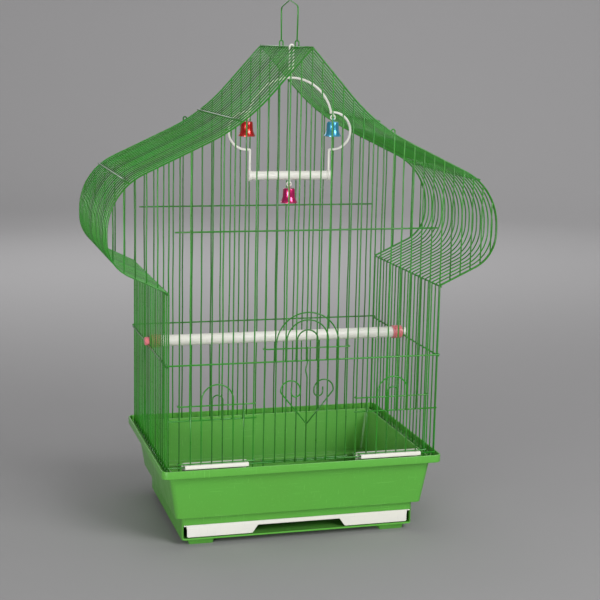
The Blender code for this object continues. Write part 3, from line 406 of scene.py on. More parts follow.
def slab_object(name, outline, start, end, axis, edge=SHARP, centre=(0, 0, 0)):
    """An outline of (a, b) points extruded along X or Y, its corners and edges rounded."""
    order = {"X": (2, 0, 1), "Y": (0, 2, 1)}[axis]
    turns = [radians(30 * i) for i in range(4)]
    steps = [(edge * (1 - sin(t)), edge * (1 - cos(t))) for t in turns]
    layers = [(start + deep, inward) for inward, deep in steps]
    layers += [(end - deep, inward) for inward, deep in reversed(steps)]
    rings = [[(*point, depth) for point in inset(outline, inward)] for depth, inward in layers]
    bm = bmesh.new()
    loft(bm, [[[point[i] for i in order] for point in ring] for ring in rings])
    bmesh.ops.translate(bm, verts=bm.verts, vec=centre)
    return plain_object(name, bm)


def applied(obj):
    """Leaves one plain mesh, with the object's modifiers in it."""
    depsgraph = bpy.context.evaluated_depsgraph_get()
    mesh = bpy.data.meshes.new_from_object(obj.evaluated_get(depsgraph))
    obj.modifiers.clear()
    obj.data = mesh


def merged(obj, *others, operation="UNION"):
    """Joins other shapes to an object with exact Booleans, or cuts them out."""
    for other in others:
        modifier = obj.modifiers.new(other.name, "BOOLEAN")
        modifier.operation = operation
        modifier.object = other
        modifier.solver = "EXACT"
    applied(obj)
    for other in others:
        bpy.data.objects.remove(other)
    return obj


def cut(obj, other):
    return merged(obj, other, operation="DIFFERENCE")


def bevelled(obj, width, angle):
    """Rounds the edges that are still sharp."""
    modifier = obj.modifiers.new("edges", "BEVEL")
    modifier.width = width
    modifier.segments = 2
    modifier.limit_method = "ANGLE"
    modifier.angle_limit = radians(angle)
    modifier.use_clamp_overlap = True
    applied(obj)


def finished(obj, finish, body, node, sharp=40):
    """Gives a piece its finish, its body and the node that it stands for."""
    obj.data.shade_smooth()
    obj.data.set_sharp_from_angle(angle=radians(sharp))
    obj.data.materials.clear()
    obj.data.materials.append(bpy.data.materials[finish])
    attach(obj, body)
    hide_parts(node)


def wire_piece(name, bm, body, node):
    finished(plain_object(name, bm), "painted wire", body, node, sharp=60)


# Shader nodes

def fill_input(tree, socket, value):
    """Feeds an input from another socket, or sets its value."""
    if isinstance(value, bpy.types.NodeSocket):
        tree.links.new(value, socket)
    else:
        socket.default_value = value


def add_node(tree, kind, values=None, **attributes):
    """Adds a shader node; values are numbers or the sockets that feed its inputs."""
    node = tree.nodes.new(kind)
    for name, value in attributes.items():
        setattr(node, name, value)
    for name, value in (values or {}).items():
        found = next((s for s in node.inputs if s.identifier == name), None) or node.inputs[name]
        fill_input(tree, found, value)
    return node


def calculate(tree, operation, *terms, clamp=False):
    """The result socket of a Math node."""
    node = add_node(tree, "ShaderNodeMath", operation=operation, use_clamp=clamp)
    for socket, term in zip(node.inputs, terms):
        fill_input(tree, socket, term)
    return node.outputs[0]


def product(tree, a, b, clamp=False):
    return calculate(tree, "MULTIPLY", a, b, clamp=clamp)


def added(tree, a, b):
    return calculate(tree, "ADD", a, b)


def blended(tree, factor, a, b):
    """The result socket of a colour Mix node."""
    values = {"Factor_Float": factor, "A_Color": a, "B_Color": b}
    node = add_node(tree, "ShaderNodeMix", values, data_type="RGBA")
    return next(s for s in node.outputs if s.identifier == "Result_Color")


def ranged(tree, value, low, high, to_low=0.0, to_high=1.0):
    """The result socket of a smooth Map Range node."""
    values = {"Value": value, "From Min": low, "From Max": high, "To Min": to_low, "To Max": to_high}
    return add_node(tree, "ShaderNodeMapRange", values, interpolation_type="SMOOTHSTEP").outputs["Result"]


def new_group(name, outputs, **inputs):
    """An empty shader node group, with its input and output sockets; a tuple or Colour is a colour."""
    tree = bpy.data.node_groups.new(name, "ShaderNodeTree")
    for label, value in inputs.items():
        kind = "Color" if isinstance(value, tuple) else "Float"
        tree.interface.new_socket(label.replace("_", " "), in_out="INPUT",
                                  socket_type=f"NodeSocket{kind}").default_value = value
    for label in outputs:
        kind = "Color" if label == "Colour" else "Float"
        tree.interface.new_socket(label, in_out="OUTPUT", socket_type=f"NodeSocket{kind}")
    return tree, tree.nodes.new("NodeGroupInput").outputs, tree.nodes.new("NodeGroupOutput").inputs


def place_of(tree):
    return add_node(tree, "ShaderNodeTexCoord").outputs["Object"]


def noise(tree, scale, detail=2.0, rough=0.5, vector=None):
    """The value socket of a noise texture in the object's own metres."""
    values = {"Vector": vector or place_of(tree), "Scale": scale, "Detail": detail, "Roughness": rough}
    return add_node(tree, "ShaderNodeTexNoise", values).outputs["Fac"]


def build_groups():
    """The effects that several finishes share."""
    tree, given, out = new_group("Tone drift", ["Colour"], Colour=(0.5, 0.5, 0.5, 1), Scale=20.0, Drift=0.1,
                                 Strand=0.0)
    cloud = noise(tree, given["Scale"], 3.0, 0.6)
    number = add_node(tree, "ShaderNodeAttribute", attribute_name="strand").outputs["Fac"]
    strand = product(tree, calculate(tree, "SUBTRACT", number, 0.5), given["Strand"])
    drift = product(tree, calculate(tree, "SUBTRACT", cloud, 0.5), given["Drift"])
    value = added(tree, added(tree, strand, drift), 1.0)
    hue = added(tree, product(tree, drift, 0.06), 0.5)
    values = {"Hue": hue, "Value": value, "Color": given["Colour"]}
    shifted = add_node(tree, "ShaderNodeHueSaturation", values)
    tree.links.new(shifted.outputs["Color"], out["Colour"])

    tree, given, out = new_group("Skin grain", ["Height", "Sheen"], Scale=1500.0, Wave_scale=150.0, Wave=0.5)
    fine = noise(tree, given["Scale"], 2.0, 0.55)
    broad = noise(tree, given["Wave scale"], 1.0)
    tree.links.new(added(tree, fine, product(tree, broad, given["Wave"])), out["Height"])
    tree.links.new(added(tree, product(tree, fine, 0.5), product(tree, broad, 0.5)), out["Sheen"])

    tree, given, out = new_group("Settled dust", ["Mask"], Amount=0.3, Scale=60.0)
    normal = add_node(tree, "ShaderNodeNewGeometry").outputs["Normal"]
    upward = add_node(tree, "ShaderNodeSeparateXYZ", {"Vector": normal}).outputs["Z"]
    patches = noise(tree, given["Scale"], 4.0, 0.65)
    lying = product(tree, ranged(tree, upward, 0.3, 0.95), ranged(tree, patches, 0.35, 0.75))
    tree.links.new(product(tree, lying, given["Amount"], clamp=True), out["Mask"])

    tree, given, out = new_group("Edge wear", ["Mask"], Amount=0.5, Scale=180.0)
    edges = ranged(tree, add_node(tree, "ShaderNodeNewGeometry").outputs["Pointiness"], 0.52, 0.60)
    broken = ranged(tree, noise(tree, given["Scale"], 3.0, 0.7), 0.42, 0.62)
    tree.links.new(product(tree, product(tree, edges, broken), given["Amount"], clamp=True), out["Mask"])

    tree, given, out = new_group("Fine scratches", ["Mask"], Scale=40.0, Amount=0.5)
    place, mask = place_of(tree), 0.0
    for turn, stretch in ((0.5, (1, 30, 30)), (-0.7, (30, 1, 30)), (1.9, (30, 30, 1.5))):
        values = {"Vector": place, "Rotation": (turn, turn / 2, turn), "Scale": stretch}
        mapped = add_node(tree, "ShaderNodeMapping", values).outputs["Vector"]
        lines = ranged(tree, noise(tree, given["Scale"], 1.0, 0.4, mapped), 0.70, 0.74)
        mask = calculate(tree, "MAXIMUM", lines, mask)
    tree.links.new(product(tree, mask, given["Amount"], clamp=True), out["Mask"])


class Finish:
    """One material: the shader stays in it, and the shared effects are groups placed in it."""

    def __init__(self, name, colour, scale, drift, strand=0.0):
        self.material = bpy.data.materials.new(name)
        self.material.use_nodes = True
        self.tree = self.material.node_tree
        self.shader = self.tree.nodes["Principled BSDF"]
        self.colour = self.effect("Tone drift", Colour=opaque(colour), Scale=scale, Drift=drift,
                                  Strand=strand)["Colour"]

    def effect(self, group, **values):
        node = self.tree.nodes.new("ShaderNodeGroup")
        node.node_tree = bpy.data.node_groups[group]
        for name, value in values.items():
            fill_input(self.tree, node.inputs[name.replace("_", " ")], value)
        return node.outputs

    def overlaid(self, group, colour, amount, scale):
        """Lays a colour over the one so far where an effect's mask says, and gives the mask."""
        mask = self.effect(group, Amount=amount, Scale=scale)["Mask"]
        self.colour = blended(self.tree, mask, self.colour, opaque(colour))
        return mask

    def feed(self, name, source):
        self.tree.links.new(source, self.shader.inputs[name])

    def fixed(self, **values):
        for name, value in values.items():
            self.shader.inputs[name.replace("_", " ")].default_value = value

    def skin(self, grain, waves, wave, depth, rough, scuffs=None, matt=0.0):
        """Feeds the colour, and the roughness and fine relief of one grain; scuffs are more matt."""
        made = self.effect("Skin grain", Scale=grain, Wave_scale=waves, Wave=wave)
        sheen = made["Sheen"]
        if scuffs:
            sheen = added(self.tree, sheen, product(self.tree, scuffs, matt))
        bump = add_node(self.tree, "ShaderNodeBump", {"Height": made["Height"], "Distance": depth})
        self.feed("Base Color", self.colour)
        self.feed("Roughness", ranged(self.tree, sheen, 0.2, 0.8, *rough))
        self.feed("Normal", bump.outputs["Normal"])


def opaque(colour):
    return (*colour, 1)


def lighter(colour, share, more):
    return [min(1, c * share + more) for c in colour]


def build_painted_wire(colours):
    """Powder coat on steel wire: a little orange peel, its tone changes strand by strand, dusty on top."""
    made = Finish("painted wire", colours.wire, scale=22.0, drift=0.5, strand=0.5)
    made.overlaid("Settled dust", (0.33, 0.36, 0.26), amount=0.03, scale=70.0)
    made.skin(grain=1300.0, waves=260.0, wave=0.8, depth=0.00005, rough=(0.24, 0.38))
    made.fixed(Coat_Weight=0.28, Coat_Roughness=0.10)


def build_tub_plastic(colours):
    """Bright moulded polypropylene: satin skin, cloudy flow tone, thin scuffs and dust on the ledges."""
    made = Finish("tub plastic", colours.tub, scale=9.0, drift=0.18)
    light = lighter(colours.tub, 1.5, 0.05)
    made.overlaid("Edge wear", light, amount=0.35, scale=160.0)
    scuffs = made.overlaid("Fine scratches", light, amount=0.30, scale=28.0)
    made.overlaid("Settled dust", (0.42, 0.44, 0.34), amount=0.16, scale=45.0)
    made.skin(grain=2600.0, waves=55.0, wave=1.2, depth=0.000035, rough=(0.30, 0.50), scuffs=scuffs, matt=0.8)
    made.fixed(Coat_Weight=0.25, Coat_Roughness=0.22)


def build_white_plastic(colours):
    """White moulding: a trace warmer in places, with faint scuffs."""
    made = Finish("white plastic", colours.white, scale=16.0, drift=0.07)
    warm = ranged(made.tree, noise(made.tree, 7.0), 0.45, 0.75, 0.0, 0.35)
    made.colour = blended(made.tree, warm, made.colour, (0.78, 0.74, 0.60, 1))
    scuffs = made.overlaid("Fine scratches", (0.52, 0.52, 0.48), amount=0.22, scale=36.0)
    made.skin(grain=1900.0, waves=80.0, wave=1.0, depth=0.00003, rough=(0.28, 0.46), scuffs=scuffs, matt=0.6)


def build_pink_plastic(colours):
    """Slightly clear pink moulding, with painted shade that darkens it in its grooves."""
    made = Finish("pink plastic", colours.pink, scale=120.0, drift=0.25)
    # Painted shade: where the surface is hollow, in the grooves, the pink is mixed towards a darker copy of
    # itself
    point = add_node(made.tree, "ShaderNodeNewGeometry").outputs["Pointiness"]
    deep = opaque(c * 0.6 for c in colours.pink)
    made.colour = blended(made.tree, ranged(made.tree, point, 0.40, 0.54), deep, made.colour)
    made.skin(grain=1800.0, waves=220.0, wave=1.0, depth=0.00003, rough=(0.22, 0.38))
    made.fixed(Subsurface_Weight=0.25, Subsurface_Radius=(0.004, 0.0015, 0.0015), Subsurface_Scale=0.5,
               Coat_Weight=0.3, Coat_Roughness=0.1)


def build_bell_lacquer(name, colour):
    """Clear coloured lacquer over bright metal, thin on the edges."""
    made = Finish(name, colour, scale=150.0, drift=0.3)
    made.overlaid("Edge wear", lighter(colour, 1.3, 0.10), amount=0.5, scale=700.0)
    made.skin(grain=900.0, waves=240.0, wave=1.5, depth=0.00003, rough=(0.14, 0.26))
    made.fixed(Metallic=0.55, Coat_Weight=1.0, Coat_Roughness=0.06)


def build_bell_steel(colours):
    """Plain drawn steel wire and ball, with drawing marks and dull patches."""
    made = Finish("bell steel", colours.steel, scale=300.0, drift=0.4)
    made.overlaid("Fine scratches", (0.30, 0.30, 0.30), amount=0.5, scale=400.0)
    made.skin(grain=3000.0, waves=500.0, wave=1.0, depth=0.00002, rough=(0.25, 0.45))
    made.fixed(Metallic=1.0)


# Wire shapes

def roof_half():
    """The right half of the outline, (x, z) points from the ridge down to the eave corner."""
    steps = 12
    ridge, slope = (0, RIDGE_Z), (SLOPE_BREAK_X, EAVE_Z + SLOPE_BREAK)
    top, low = (SHOULDER_X, EAVE_Z + SHOULDER_HIGH), (SHOULDER_X, EAVE_Z + SHOULDER_LOW)
    eave = (WALL_X, EAVE_Z)
    bend = corner_arc(ridge, slope, top, 0.230, steps // 2)
    shoulder = corner_arc(slope, top, low, 0.075, steps)
    return [ridge, *bend, *shoulder, *corner_arc(top, low, eave, 0.045, steps), eave]


def corner_arc(before, corner, after, radius, steps):
    """The rounding of a corner of the outline, which may take all of a leg."""
    corner, before, after = Vector(corner), Vector(before), Vector(after)
    inward, outward = (before - corner).normalized(), (after - corner).normalized()
    half = inward.angle(outward) / 2
    centre = corner + (inward + outward).normalized() * radius / sin(half)
    first, last = (corner + way * radius / tan(half) - centre for way in (inward, outward))
    start = atan2(first.y, first.x)
    whole = (atan2(last.y, last.x) - start + pi) % (2 * pi) - pi
    turns = [start + whole * i / steps for i in range(steps + 1)]
    return [(centre.x + radius * cos(a), centre.y + radius * sin(a)) for a in turns]


def outline_heights(x):
    """Heights at which an upright at x meets the outline, the highest first."""
    points = roof_half()
    found = [z0 + (z1 - z0) * (x - x0) / (x1 - x0) for (x0, z0), (x1, z1) in zip(points, points[1:])
             if x0 != x1 and min(x0, x1) <= x < max(x0, x1)]
    return sorted(found, reverse=True)


def slope_point(x):
    """The point at x on the upper slopes of the outline, and the direction out of the roof there."""
    for (x0, z0), (x1, z1) in zip(roof_half(), roof_half()[1:]):
        if x0 <= x <= x1:
            run = Vector((x1 - x0, z1 - z0)).normalized()
            return (x, z0 + (z1 - z0) * (x - x0) / (x1 - x0)), (-run.y, run.x)
    raise ValueError("x lies beyond the roof")


def front_foot(index):
    """The height at which an upright of the front ends."""
    if abs(index) < MAIN_GUIDE:
        return BELT_Z
    if FEED_CENTRE - FEED_GUIDE < abs(index) < FEED_CENTRE + FEED_GUIDE:
        return SILL_Z
    return GUTTER_Z + GAP


def build_panel(name, side):
    """The flat front or back: uprights in an outline of heavier wire. The back also has a foot wire."""
    sizes = settings().wires
    draw = random.Random(f"{name}_wires")
    y = side * PANEL_Y
    half = roof_half()
    foot = GUTTER_Z + GAP + (RAIL if side == 1 else 0)
    bm = new_mesh()
    outline = [(WALL_X, foot), *reversed(half), *[(-x, z) for x, z in half[1:]], (-WALL_X, foot)]
    tube(bm, spaced(softened(standing(outline, y), 0.0028), 0.05), sizes.outline, draw)
    last = int(SHOULDER_X / PITCH)
    for index in range(-last, last + 1):
        x = index * PITCH
        heights = outline_heights(abs(x))
        bottom = EAVE_Z if abs(index) == FRONT_GAPS // 2 else heights[-1]
        if abs(index) < FRONT_GAPS // 2:
            bottom = front_foot(index) if side < 0 else foot
        guide = side < 0 and abs(index) in (MAIN_GUIDE, FEED_CENTRE - FEED_GUIDE, FEED_CENTRE + FEED_GUIDE)
        path = standing([(x, bottom), (x, heights[0])], y)
        path = swayed(path, sizes.sway * (0.25 if guide else 1), ACROSS, draw)
        if abs(index) == CLIP_INDEX:
            path = [*path[:-1], *roof_clip(x, y, heights[0])]
        tube(bm, path, sizes.upright, draw)
        bead(bm, (x, y, heights[0]), (sizes.weld * 0.9, sizes.weld * 0.8, sizes.weld), draw)
    if side > 0:
        tube(bm, spaced(standing([(-WALL_X, foot), (WALL_X, foot)], y), WIRE_STEP), sizes.rail, draw)
        for x in GRID:
            bead(bm, (x, y, foot), (sizes.weld, sizes.weld * 0.9, sizes.weld), draw)
    wire_piece(f"{name}_wires", bm, "cage", f"{name}_panel")


def roof_clip(x, y, z):
    """An upright's end, bent into a small loop above the roof's edge that leans to the middle."""
    toward, radius, rise = -1 if x > 0 else 1, 0.0021, 0.0036
    loop = arc((radius, rise), radius, 180, -120, 16)
    return [Vector((x, y, z)), *(Vector((x + toward * a, y, z + b)) for a, b in loop)]


def build_sheet(name, side):
    """One side wall and its half of the roof, bent from one sheet of wires, straighter near the swing."""
    sizes = settings().wires
    draw = random.Random(name)
    half = roof_half()
    slope = (Vector(half[1]) - Vector(half[0])).normalized()
    start = Vector(half[0]) + slope * (RIDGE_RAIL + 1.5 * GAP)
    foot = GUTTER_Z + GAP + FRAME_WIRE
    outline = [(side * x, z) for x, z in [tuple(start), *half[1:], (WALL_X, foot)]]
    outline = softened(standing(outline, 0), 0.0035, 4)
    bm = new_mesh()
    end = CAGE_DEPTH / 2 + WIRE / 2
    tight, firm, free = 0.08, 0.3, 0.6
    tube(bm, [(side * WALL_X, s * end, foot) for s in (-1, 1)], sizes.rail, draw)
    for y in DEPTHS:
        near_swing = abs(y - SWING_Y) < 3 * SIDE_PITCH
        share = tight if near_swing else firm if y in (DEPTHS[0], DEPTHS[-1]) else free
        path = swayed([point + BACK * y for point in outline], sizes.sway * share, BACK, draw, 0.03)
        tube(bm, path, sizes.upright, draw)
        bead(bm, (side * WALL_X, y, foot), (sizes.weld * 0.9, sizes.weld, sizes.weld), draw)
    wire_piece(f"{name}_wall_and_roof_wires", bm, "cage", f"{name}_wall_and_roof")


def rail(name, path, welds, out, radius=None):
    """One cross wire, with a bead at every wire that it crosses; out points away from those wires."""
    sizes = settings().wires
    draw = random.Random(name)
    bm = new_mesh()
    tube(bm, spaced(path, WIRE_STEP), radius or sizes.rail, draw)
    for point in welds:
        place = Vector(point) - Vector(out) * 0.45 * RAIL_OUT
        bead(bm, place, (sizes.weld, sizes.weld, sizes.weld * 0.95), draw)
    wire_piece(name.replace("_rail", "_wire"), bm, "cage", name)


def build_rails():
    """The cross wires welded over the walls and the roof."""
    end_x, end_y, frame_x = WALL_X + RAIL_OUT, PANEL_Y - GAP, WALL_X + FRAME_WIRE
    for name, side in (("front", -1), ("back", 1)):
        y, hook, out = side * RAIL_Y, side * (RAIL_Y - 0.0045), (0, side, 0)
        belt = [(-end_x, hook, BELT_Z), (-end_x, y, BELT_Z), (end_x, y, BELT_Z), (end_x, hook, BELT_Z)]
        rail(f"{name}_belt_rail", softened(belt, 0.0016, 5), [(x, y, BELT_Z) for x in GRID], out)
        upper = [(s * (WALL_X - PITCH / 2), y, UPPER_Z) for s in (-1, 1)]
        rail(f"{name}_upper_rail", upper, [(x, y, UPPER_Z) for x in GRID[1:-1]], out)
    reach = [(s * frame_x, -RAIL_Y, FOOT_RAIL_Z) for s in (-1, 1)]
    feet = [x for index, x in enumerate(GRID, -FRONT_GAPS // 2) if front_foot(index) < FOOT_RAIL_Z]
    rail("front_foot_rail", reach, [(x, -RAIL_Y, FOOT_RAIL_Z) for x in feet], (0, -1, 0))
    rise = SHOULDER_LOW / (SHOULDER_X - WALL_X)
    eave_z = EAVE_Z + RAIL_OUT * (rise - sqrt(1 + rise ** 2)) - GAP
    for name, side in SIDES:
        inner = (FEED_CENTRE - FEED_GUIDE - 0.25) * PITCH
        ends = [(side * x, -RAIL_Y, SILL_Z) for x in (inner, frame_x)]
        rail(f"{name}_sill_rail", ends, [(x, -RAIL_Y, SILL_Z) for x in GRID if side * x > inner], (0, -1, 0))
        level = [("belt", Vector((side * end_x, 0, SIDE_BELT_Z)), (side, 0, 0)),
                 ("eave", Vector((side * end_x, 0, eave_z)), (side, 0, 0))]
        for place, px in (("shoulder", SHOULDER_X - 0.0257), ("slope", SLOPE_BREAK_X + 0.004)):
            (rx, rz), (nx, nz) = slope_point(px)
            point = Vector((side * (rx + RAIL_OUT * nx), 0, rz + RAIL_OUT * nz))
            level.append((place, point, (side * nx, 0, nz)))
        for place, point, out in level:
            across = [point + s * end_y * BACK for s in (-1, 1)]
            rail(f"{name}_{place}_rail", across, [point + y * BACK for y in DEPTHS], out)
    end, touch = PANEL_Y - FRAME_WIRE - GAP, 0.0011
    welds = [(s * touch, y, RIDGE_Z - touch) for y in DEPTHS for s in (-1, 1)]
    rail("ridge_rail", [(0, -end, RIDGE_Z), (0, end, RIDGE_Z)], welds, (0, 0, 0), RIDGE_RAIL)


def door_bar(x_middle, guide, z):
    """A cross bar whose ends hook round the guide wires on both sides."""
    past, behind = guide + 2 * WIRE + GAP, -PANEL_Y + 2 * WIRE + GAP
    path = [(-guide + WIRE / 2, behind), (-past, behind), (-past, -DOOR_BAR_Y),
            (past, -DOOR_BAR_Y), (past, behind), (guide - WIRE / 2, behind)]
    return softened([(x_middle + x, y, z) for x, y in path], 0.0012, 4)


def arch_path(x_middle, half, foot, spring):
    """An upright pair joined by a half circle."""
    points = [(x_middle - half, foot), *arc((x_middle, spring), half, 180, 0, 20), (x_middle + half, foot)]
    return standing(points, -DOOR_Y)


def kinked_wire(foot, top):
    """The middle upright of the main door, with its small sideways wave."""
    low, high, bulge, lean = BELT_Z - 0.020, BELT_Z + 0.002, 0.0016, 0.0005
    steps = 12
    wave = []
    for i in range(steps + 1):
        turn = pi * i / steps
        wave.append((-bulge * sin(turn) ** 2 - lean * sin(2 * turn), low + (high - low) * i / steps))
    return standing([(0, foot), *wave, (0, top)], -DOOR_Y)


def heart_path(side):
    """One half of the open heart, from the tip up and round into its curl."""
    curl, tail, half_width = 0.012, 0.0055, 0.0325
    middle = half_width - curl
    tail_middle = middle - curl + tail
    points = [(WIRE / 2, HEART_TIP_Z), *arc((middle, HEART_CURL_Z), curl, -10, 180, 20),
              *arc((tail_middle, HEART_CURL_Z - 0.0025), tail, 180, 345, 14),
              (tail_middle + tail, HEART_CURL_Z + 0.0035)]
    return [(side * x, -HEART_Y, z) for x, z in softened(points, 0.012, 4)]


def door_bars(bm, middle, guide, heights, crossed, draw):
    """The cross bars of a door at some heights, with a bead at each upright that they cross."""
    sizes = settings().wires
    for z in heights:
        tube(bm, door_bar(middle, guide * PITCH, z), sizes.upright, draw)
        for gaps in crossed:
            place = (middle + gaps * PITCH, -DOOR_BAR_Y - WIRE * 0.6, z)
            bead(bm, place, (sizes.weld * 0.9,) * 3, draw)


def build_main_door():
    sizes = settings().wires
    draw = random.Random("main door")
    foot = MAIN_FOOT_Z - 0.003
    bm = new_mesh()
    door_bars(bm, 0, MAIN_GUIDE, (MAIN_FOOT_Z, MAIN_BAR_Z), range(-3, 4), draw)
    for count, rise in ((3, 0.0048), (2, 0.0086), (1, 0.0093)):
        arch = arch_path(0, count * PITCH, foot, MAIN_BAR_Z + rise)
        tube(bm, spaced(arch, 0.04), sizes.upright, draw)
    tube(bm, kinked_wire(foot, MAIN_BAR_Z + 2 * WIRE), sizes.upright, draw)
    for side in (-1, 1):
        path = heart_path(side)
        tube(bm, path, sizes.upright, draw)
        for index in (1, 2):
            crossing = [p for p in path if abs(abs(p[0]) - index * PITCH) < 0.0009]
            for point in crossing[:2]:
                place = (side * index * PITCH, point[1] + WIRE * 0.8, point[2])
                bead(bm, place, (sizes.weld * 0.85,) * 3, draw)
    bead(bm, (0, -HEART_Y + WIRE * 0.8, HEART_TIP_Z), (sizes.weld,) * 3, draw)
    wire_piece("main_door_wires", bm, "main_door", "main_door")


def build_feed_door(name, side):
    sizes = settings().wires
    draw = random.Random(name)
    middle = side * FEED_CENTRE * PITCH
    foot = FEED_FOOT_Z - WIRE / 2
    bm = new_mesh()
    crossed = [k + 0.5 for k in range(-3, 3)]
    door_bars(bm, middle, FEED_GUIDE, (FEED_FOOT_Z, FEED_BAR_Z), crossed, draw)
    for half in (1.5, 0.5):
        arch = arch_path(middle, half * PITCH, foot, FEED_BAR_Z + 0.0061)
        tube(bm, spaced(arch, 0.04), sizes.upright, draw)
    for gaps in (1 - FEED_GUIDE, FEED_GUIDE - 1):
        x = middle + gaps * PITCH
        upright = standing([(x, foot), (x, FEED_BAR_Z + 2 * WIRE)], -DOOR_Y)
        tube(bm, spaced(upright, 0.04), sizes.upright, draw)
    wire_piece(f"feed_door_{name}_wires", bm, f"feed_door_{name}", f"feed_door_{name}")


def build_hanger():
    """The wire bail over the ridge, with an eye bent on each foot."""
    draw = random.Random("hanger")
    foot, tube_r, rise = 3 * SIDE_PITCH, 0.0009, 0.005
    eye_r = RIDGE_RAIL + GAP + tube_r
    eye_top = RIDGE_Z + rise + eye_r
    half = [(foot, eye_top), (foot + 0.0023, RIDGE_Z + 0.0474)]
    path = [*half, (0, RIDGE_Z + 0.0564 - tube_r), *[(-a, b) for a, b in reversed(half)]]
    path = [Vector((0, HANGER_Y + a, b)) for a, b in path]
    rounded = [path[0]]
    for i, radius in enumerate((0.006, 0.004, 0.006)):
        rounded += fillet(*path[i:i + 3], radius, 6)
    bm = new_mesh()
    tube(bm, spaced([*rounded, path[4]], 0.03), tube_r, draw, 10)
    for side in (-1, 1):
        y = HANGER_Y + side * foot
        loop = [*arc((0, RIDGE_Z + rise), eye_r, 0, 180, 12), *arc((0, RIDGE_Z), eye_r, 180, 360, 12)]
        tube(bm, standing(loop, y), tube_r, draw, 10, closed=True)
        bead(bm, (0, y, eye_top), (settings().wires.weld,) * 3, draw)
    wire_piece("hanger_wire", bm, "hanger", "hanger")


# Moulded shapes

def build_tub():
    """Tub with a gutter for the wires, on a base with a slot for the drawer."""
    edge = settings().moulded.tub_edge
    band = TUB_TOP - 0.0095
    body_wall, step = 0.0022, 0.0105
    lip_z = GUTTER_Z + 0.0035
    body = (RIM_X - step, RIM_Y - step)
    floor = (body[0] - 0.009, body[1] - 0.0065)
    throat = (BASE_X - 0.0086, BASE_Y - 0.0086)
    inside = (INSIDE_X, INSIDE_Y)
    runner = (INSIDE_X - 0.0032, INSIDE_Y - 0.0032)
    runner_top = DRAWER_TOP - DRAWER_WALL - GAP
    ledge_top = BASE_TOP + 0.002
    rim_in, lip_in = (RIM_X - RIM_WALL, RIM_Y - RIM_WALL), (GUTTER_X - RIM_WALL, GUTTER_Y - RIM_WALL)
    profile = [
        (BASE_X, BASE_Y, FOOT_HEIGHT), (BASE_X, BASE_Y, BASE_TOP), (*floor, BASE_TOP), (*body, band),
        (RIM_X, RIM_Y, band), (RIM_X, RIM_Y, TUB_TOP), (*rim_in, TUB_TOP), (*rim_in, GUTTER_Z),
        (GUTTER_X, GUTTER_Y, GUTTER_Z), (GUTTER_X, GUTTER_Y, lip_z), (*lip_in, lip_z),
        (floor[0] - body_wall, floor[1] - body_wall, ledge_top), (*throat, ledge_top),
        (*throat, ledge_top - 0.003), (*inside, ledge_top - 0.003), (*inside, runner_top),
        (*runner, runner_top), (*runner, runner_top - 0.002), (*inside, runner_top - 0.002),
        (*inside, INSIDE_FLOOR),
    ]
    start = (BASE_X - edge, BASE_Y - edge, FOOT_HEIGHT)
    path = softened([start, *profile], edge)
    rings = [rounded_rectangle(hx, hy, TUB_CORNER * (hx / RIM_X) ** 3, z) for hx, hy, z in path]
    tub = lofted_object("green_tub", rings)

    feet = bmesh.new()
    half_x, half_y = 0.01675, 0.0100
    rings = [(0.0022, 0.0017, 0), (0.0017, 0.0020, 0.0005), (0, 0.0022, FOOT_HEIGHT + 0.001)]
    for sx, sy in ((-1, -1), (-1, 1), (1, -1), (1, 1)):
        middle = sx * (BASE_X - 0.008 - half_x), sy * (BASE_Y - 0.0045 - half_y)
        loft(feet, [rounded_rectangle(half_x - a, half_y - a, r, z, 4, middle) for a, r, z in rings])
    merged(tub, plain_object("feet", feet))
    mouth, low, high = INSIDE_X - GAP, INSIDE_FLOOR + 0.00003, DRAWER_TOP + GAP
    opening = softened([(mouth, low), (mouth, high), (-mouth, high), (-mouth, low)], 0.0008, closed=True)
    cut(tub, slab_object("slot", opening, -BASE_Y - BASE_WALL, -INSIDE_Y + TUB_CORNER, "Y"))
    bevelled(tub, 0.00025, 60)
    finished(tub, "tub plastic", "cage", "base_tub")


def tray_ring(inward, z):
    """A level ring of the drawer: round corners at the back, its front edge at the skirt."""
    half, back, corner = INSIDE_X - DRAWER_ROOM - inward, INSIDE_Y - DRAWER_ROOM - inward, TUB_CORNER - inward
    inner = inward - DRAWER_FLANGE - DRAWER_WALL
    front = DRAWER_FRONT + (DRAWER_WALL if inner > -DRAWER_WALL / 2 else 0) + max(0, inner)
    near = 0.0004 if inner < -DRAWER_WALL / 2 else 0.002
    points = [*arc((half - near, front + near), near, -90, 0, 3),
              *arc((half - corner, back - corner), corner, 0, 90, 8),
              *arc((-half + corner, back - corner), corner, 90, 180, 8),
              *arc((-half + near, front + near), near, 180, 270, 3)]
    return [(x, y, z) for x, y in points]


def build_drawer():
    """Shallow tray on side flanges, with a front skirt that has a finger notch."""
    edge = settings().moulded.white_edge
    wall, flange, floor_z = DRAWER_WALL, DRAWER_FLANGE, DRAWER_TOP - 0.006
    profile = [(flange + 0.0008, floor_z), (flange, floor_z + 0.0008), (flange, DRAWER_TOP - wall),
               (0.0, DRAWER_TOP - wall), (0.0, DRAWER_TOP), (flange + wall, DRAWER_TOP),
               (flange + wall, floor_z + wall), (flange + wall + 0.0012, floor_z + wall)]
    path = softened(profile, edge * 0.7, 2, least=30)
    tray = lofted_object("white_drawer", [tray_ring(a, z) for a, z in path])

    skirt_z, half = INSIDE_FLOOR + 0.001, INSIDE_X - DRAWER_ROOM - flange - GAP
    notch, narrow, notch_top, top = 0.059, 0.052, floor_z + GAP, DRAWER_TOP - wall / 2
    outline = [(-half, skirt_z), (-notch, skirt_z), (-narrow, notch_top), (narrow, notch_top),
               (notch, skirt_z), (half, skirt_z), (half, top), (-half, top)]
    outline = softened(outline, 0.0018, 4, closed=True)
    merged(tray, slab_object("skirt", outline, DRAWER_FRONT - 0.00003, DRAWER_FRONT + wall, "Y", edge))
    finished(tray, "white plastic", "litter_drawer", "litter_drawer")


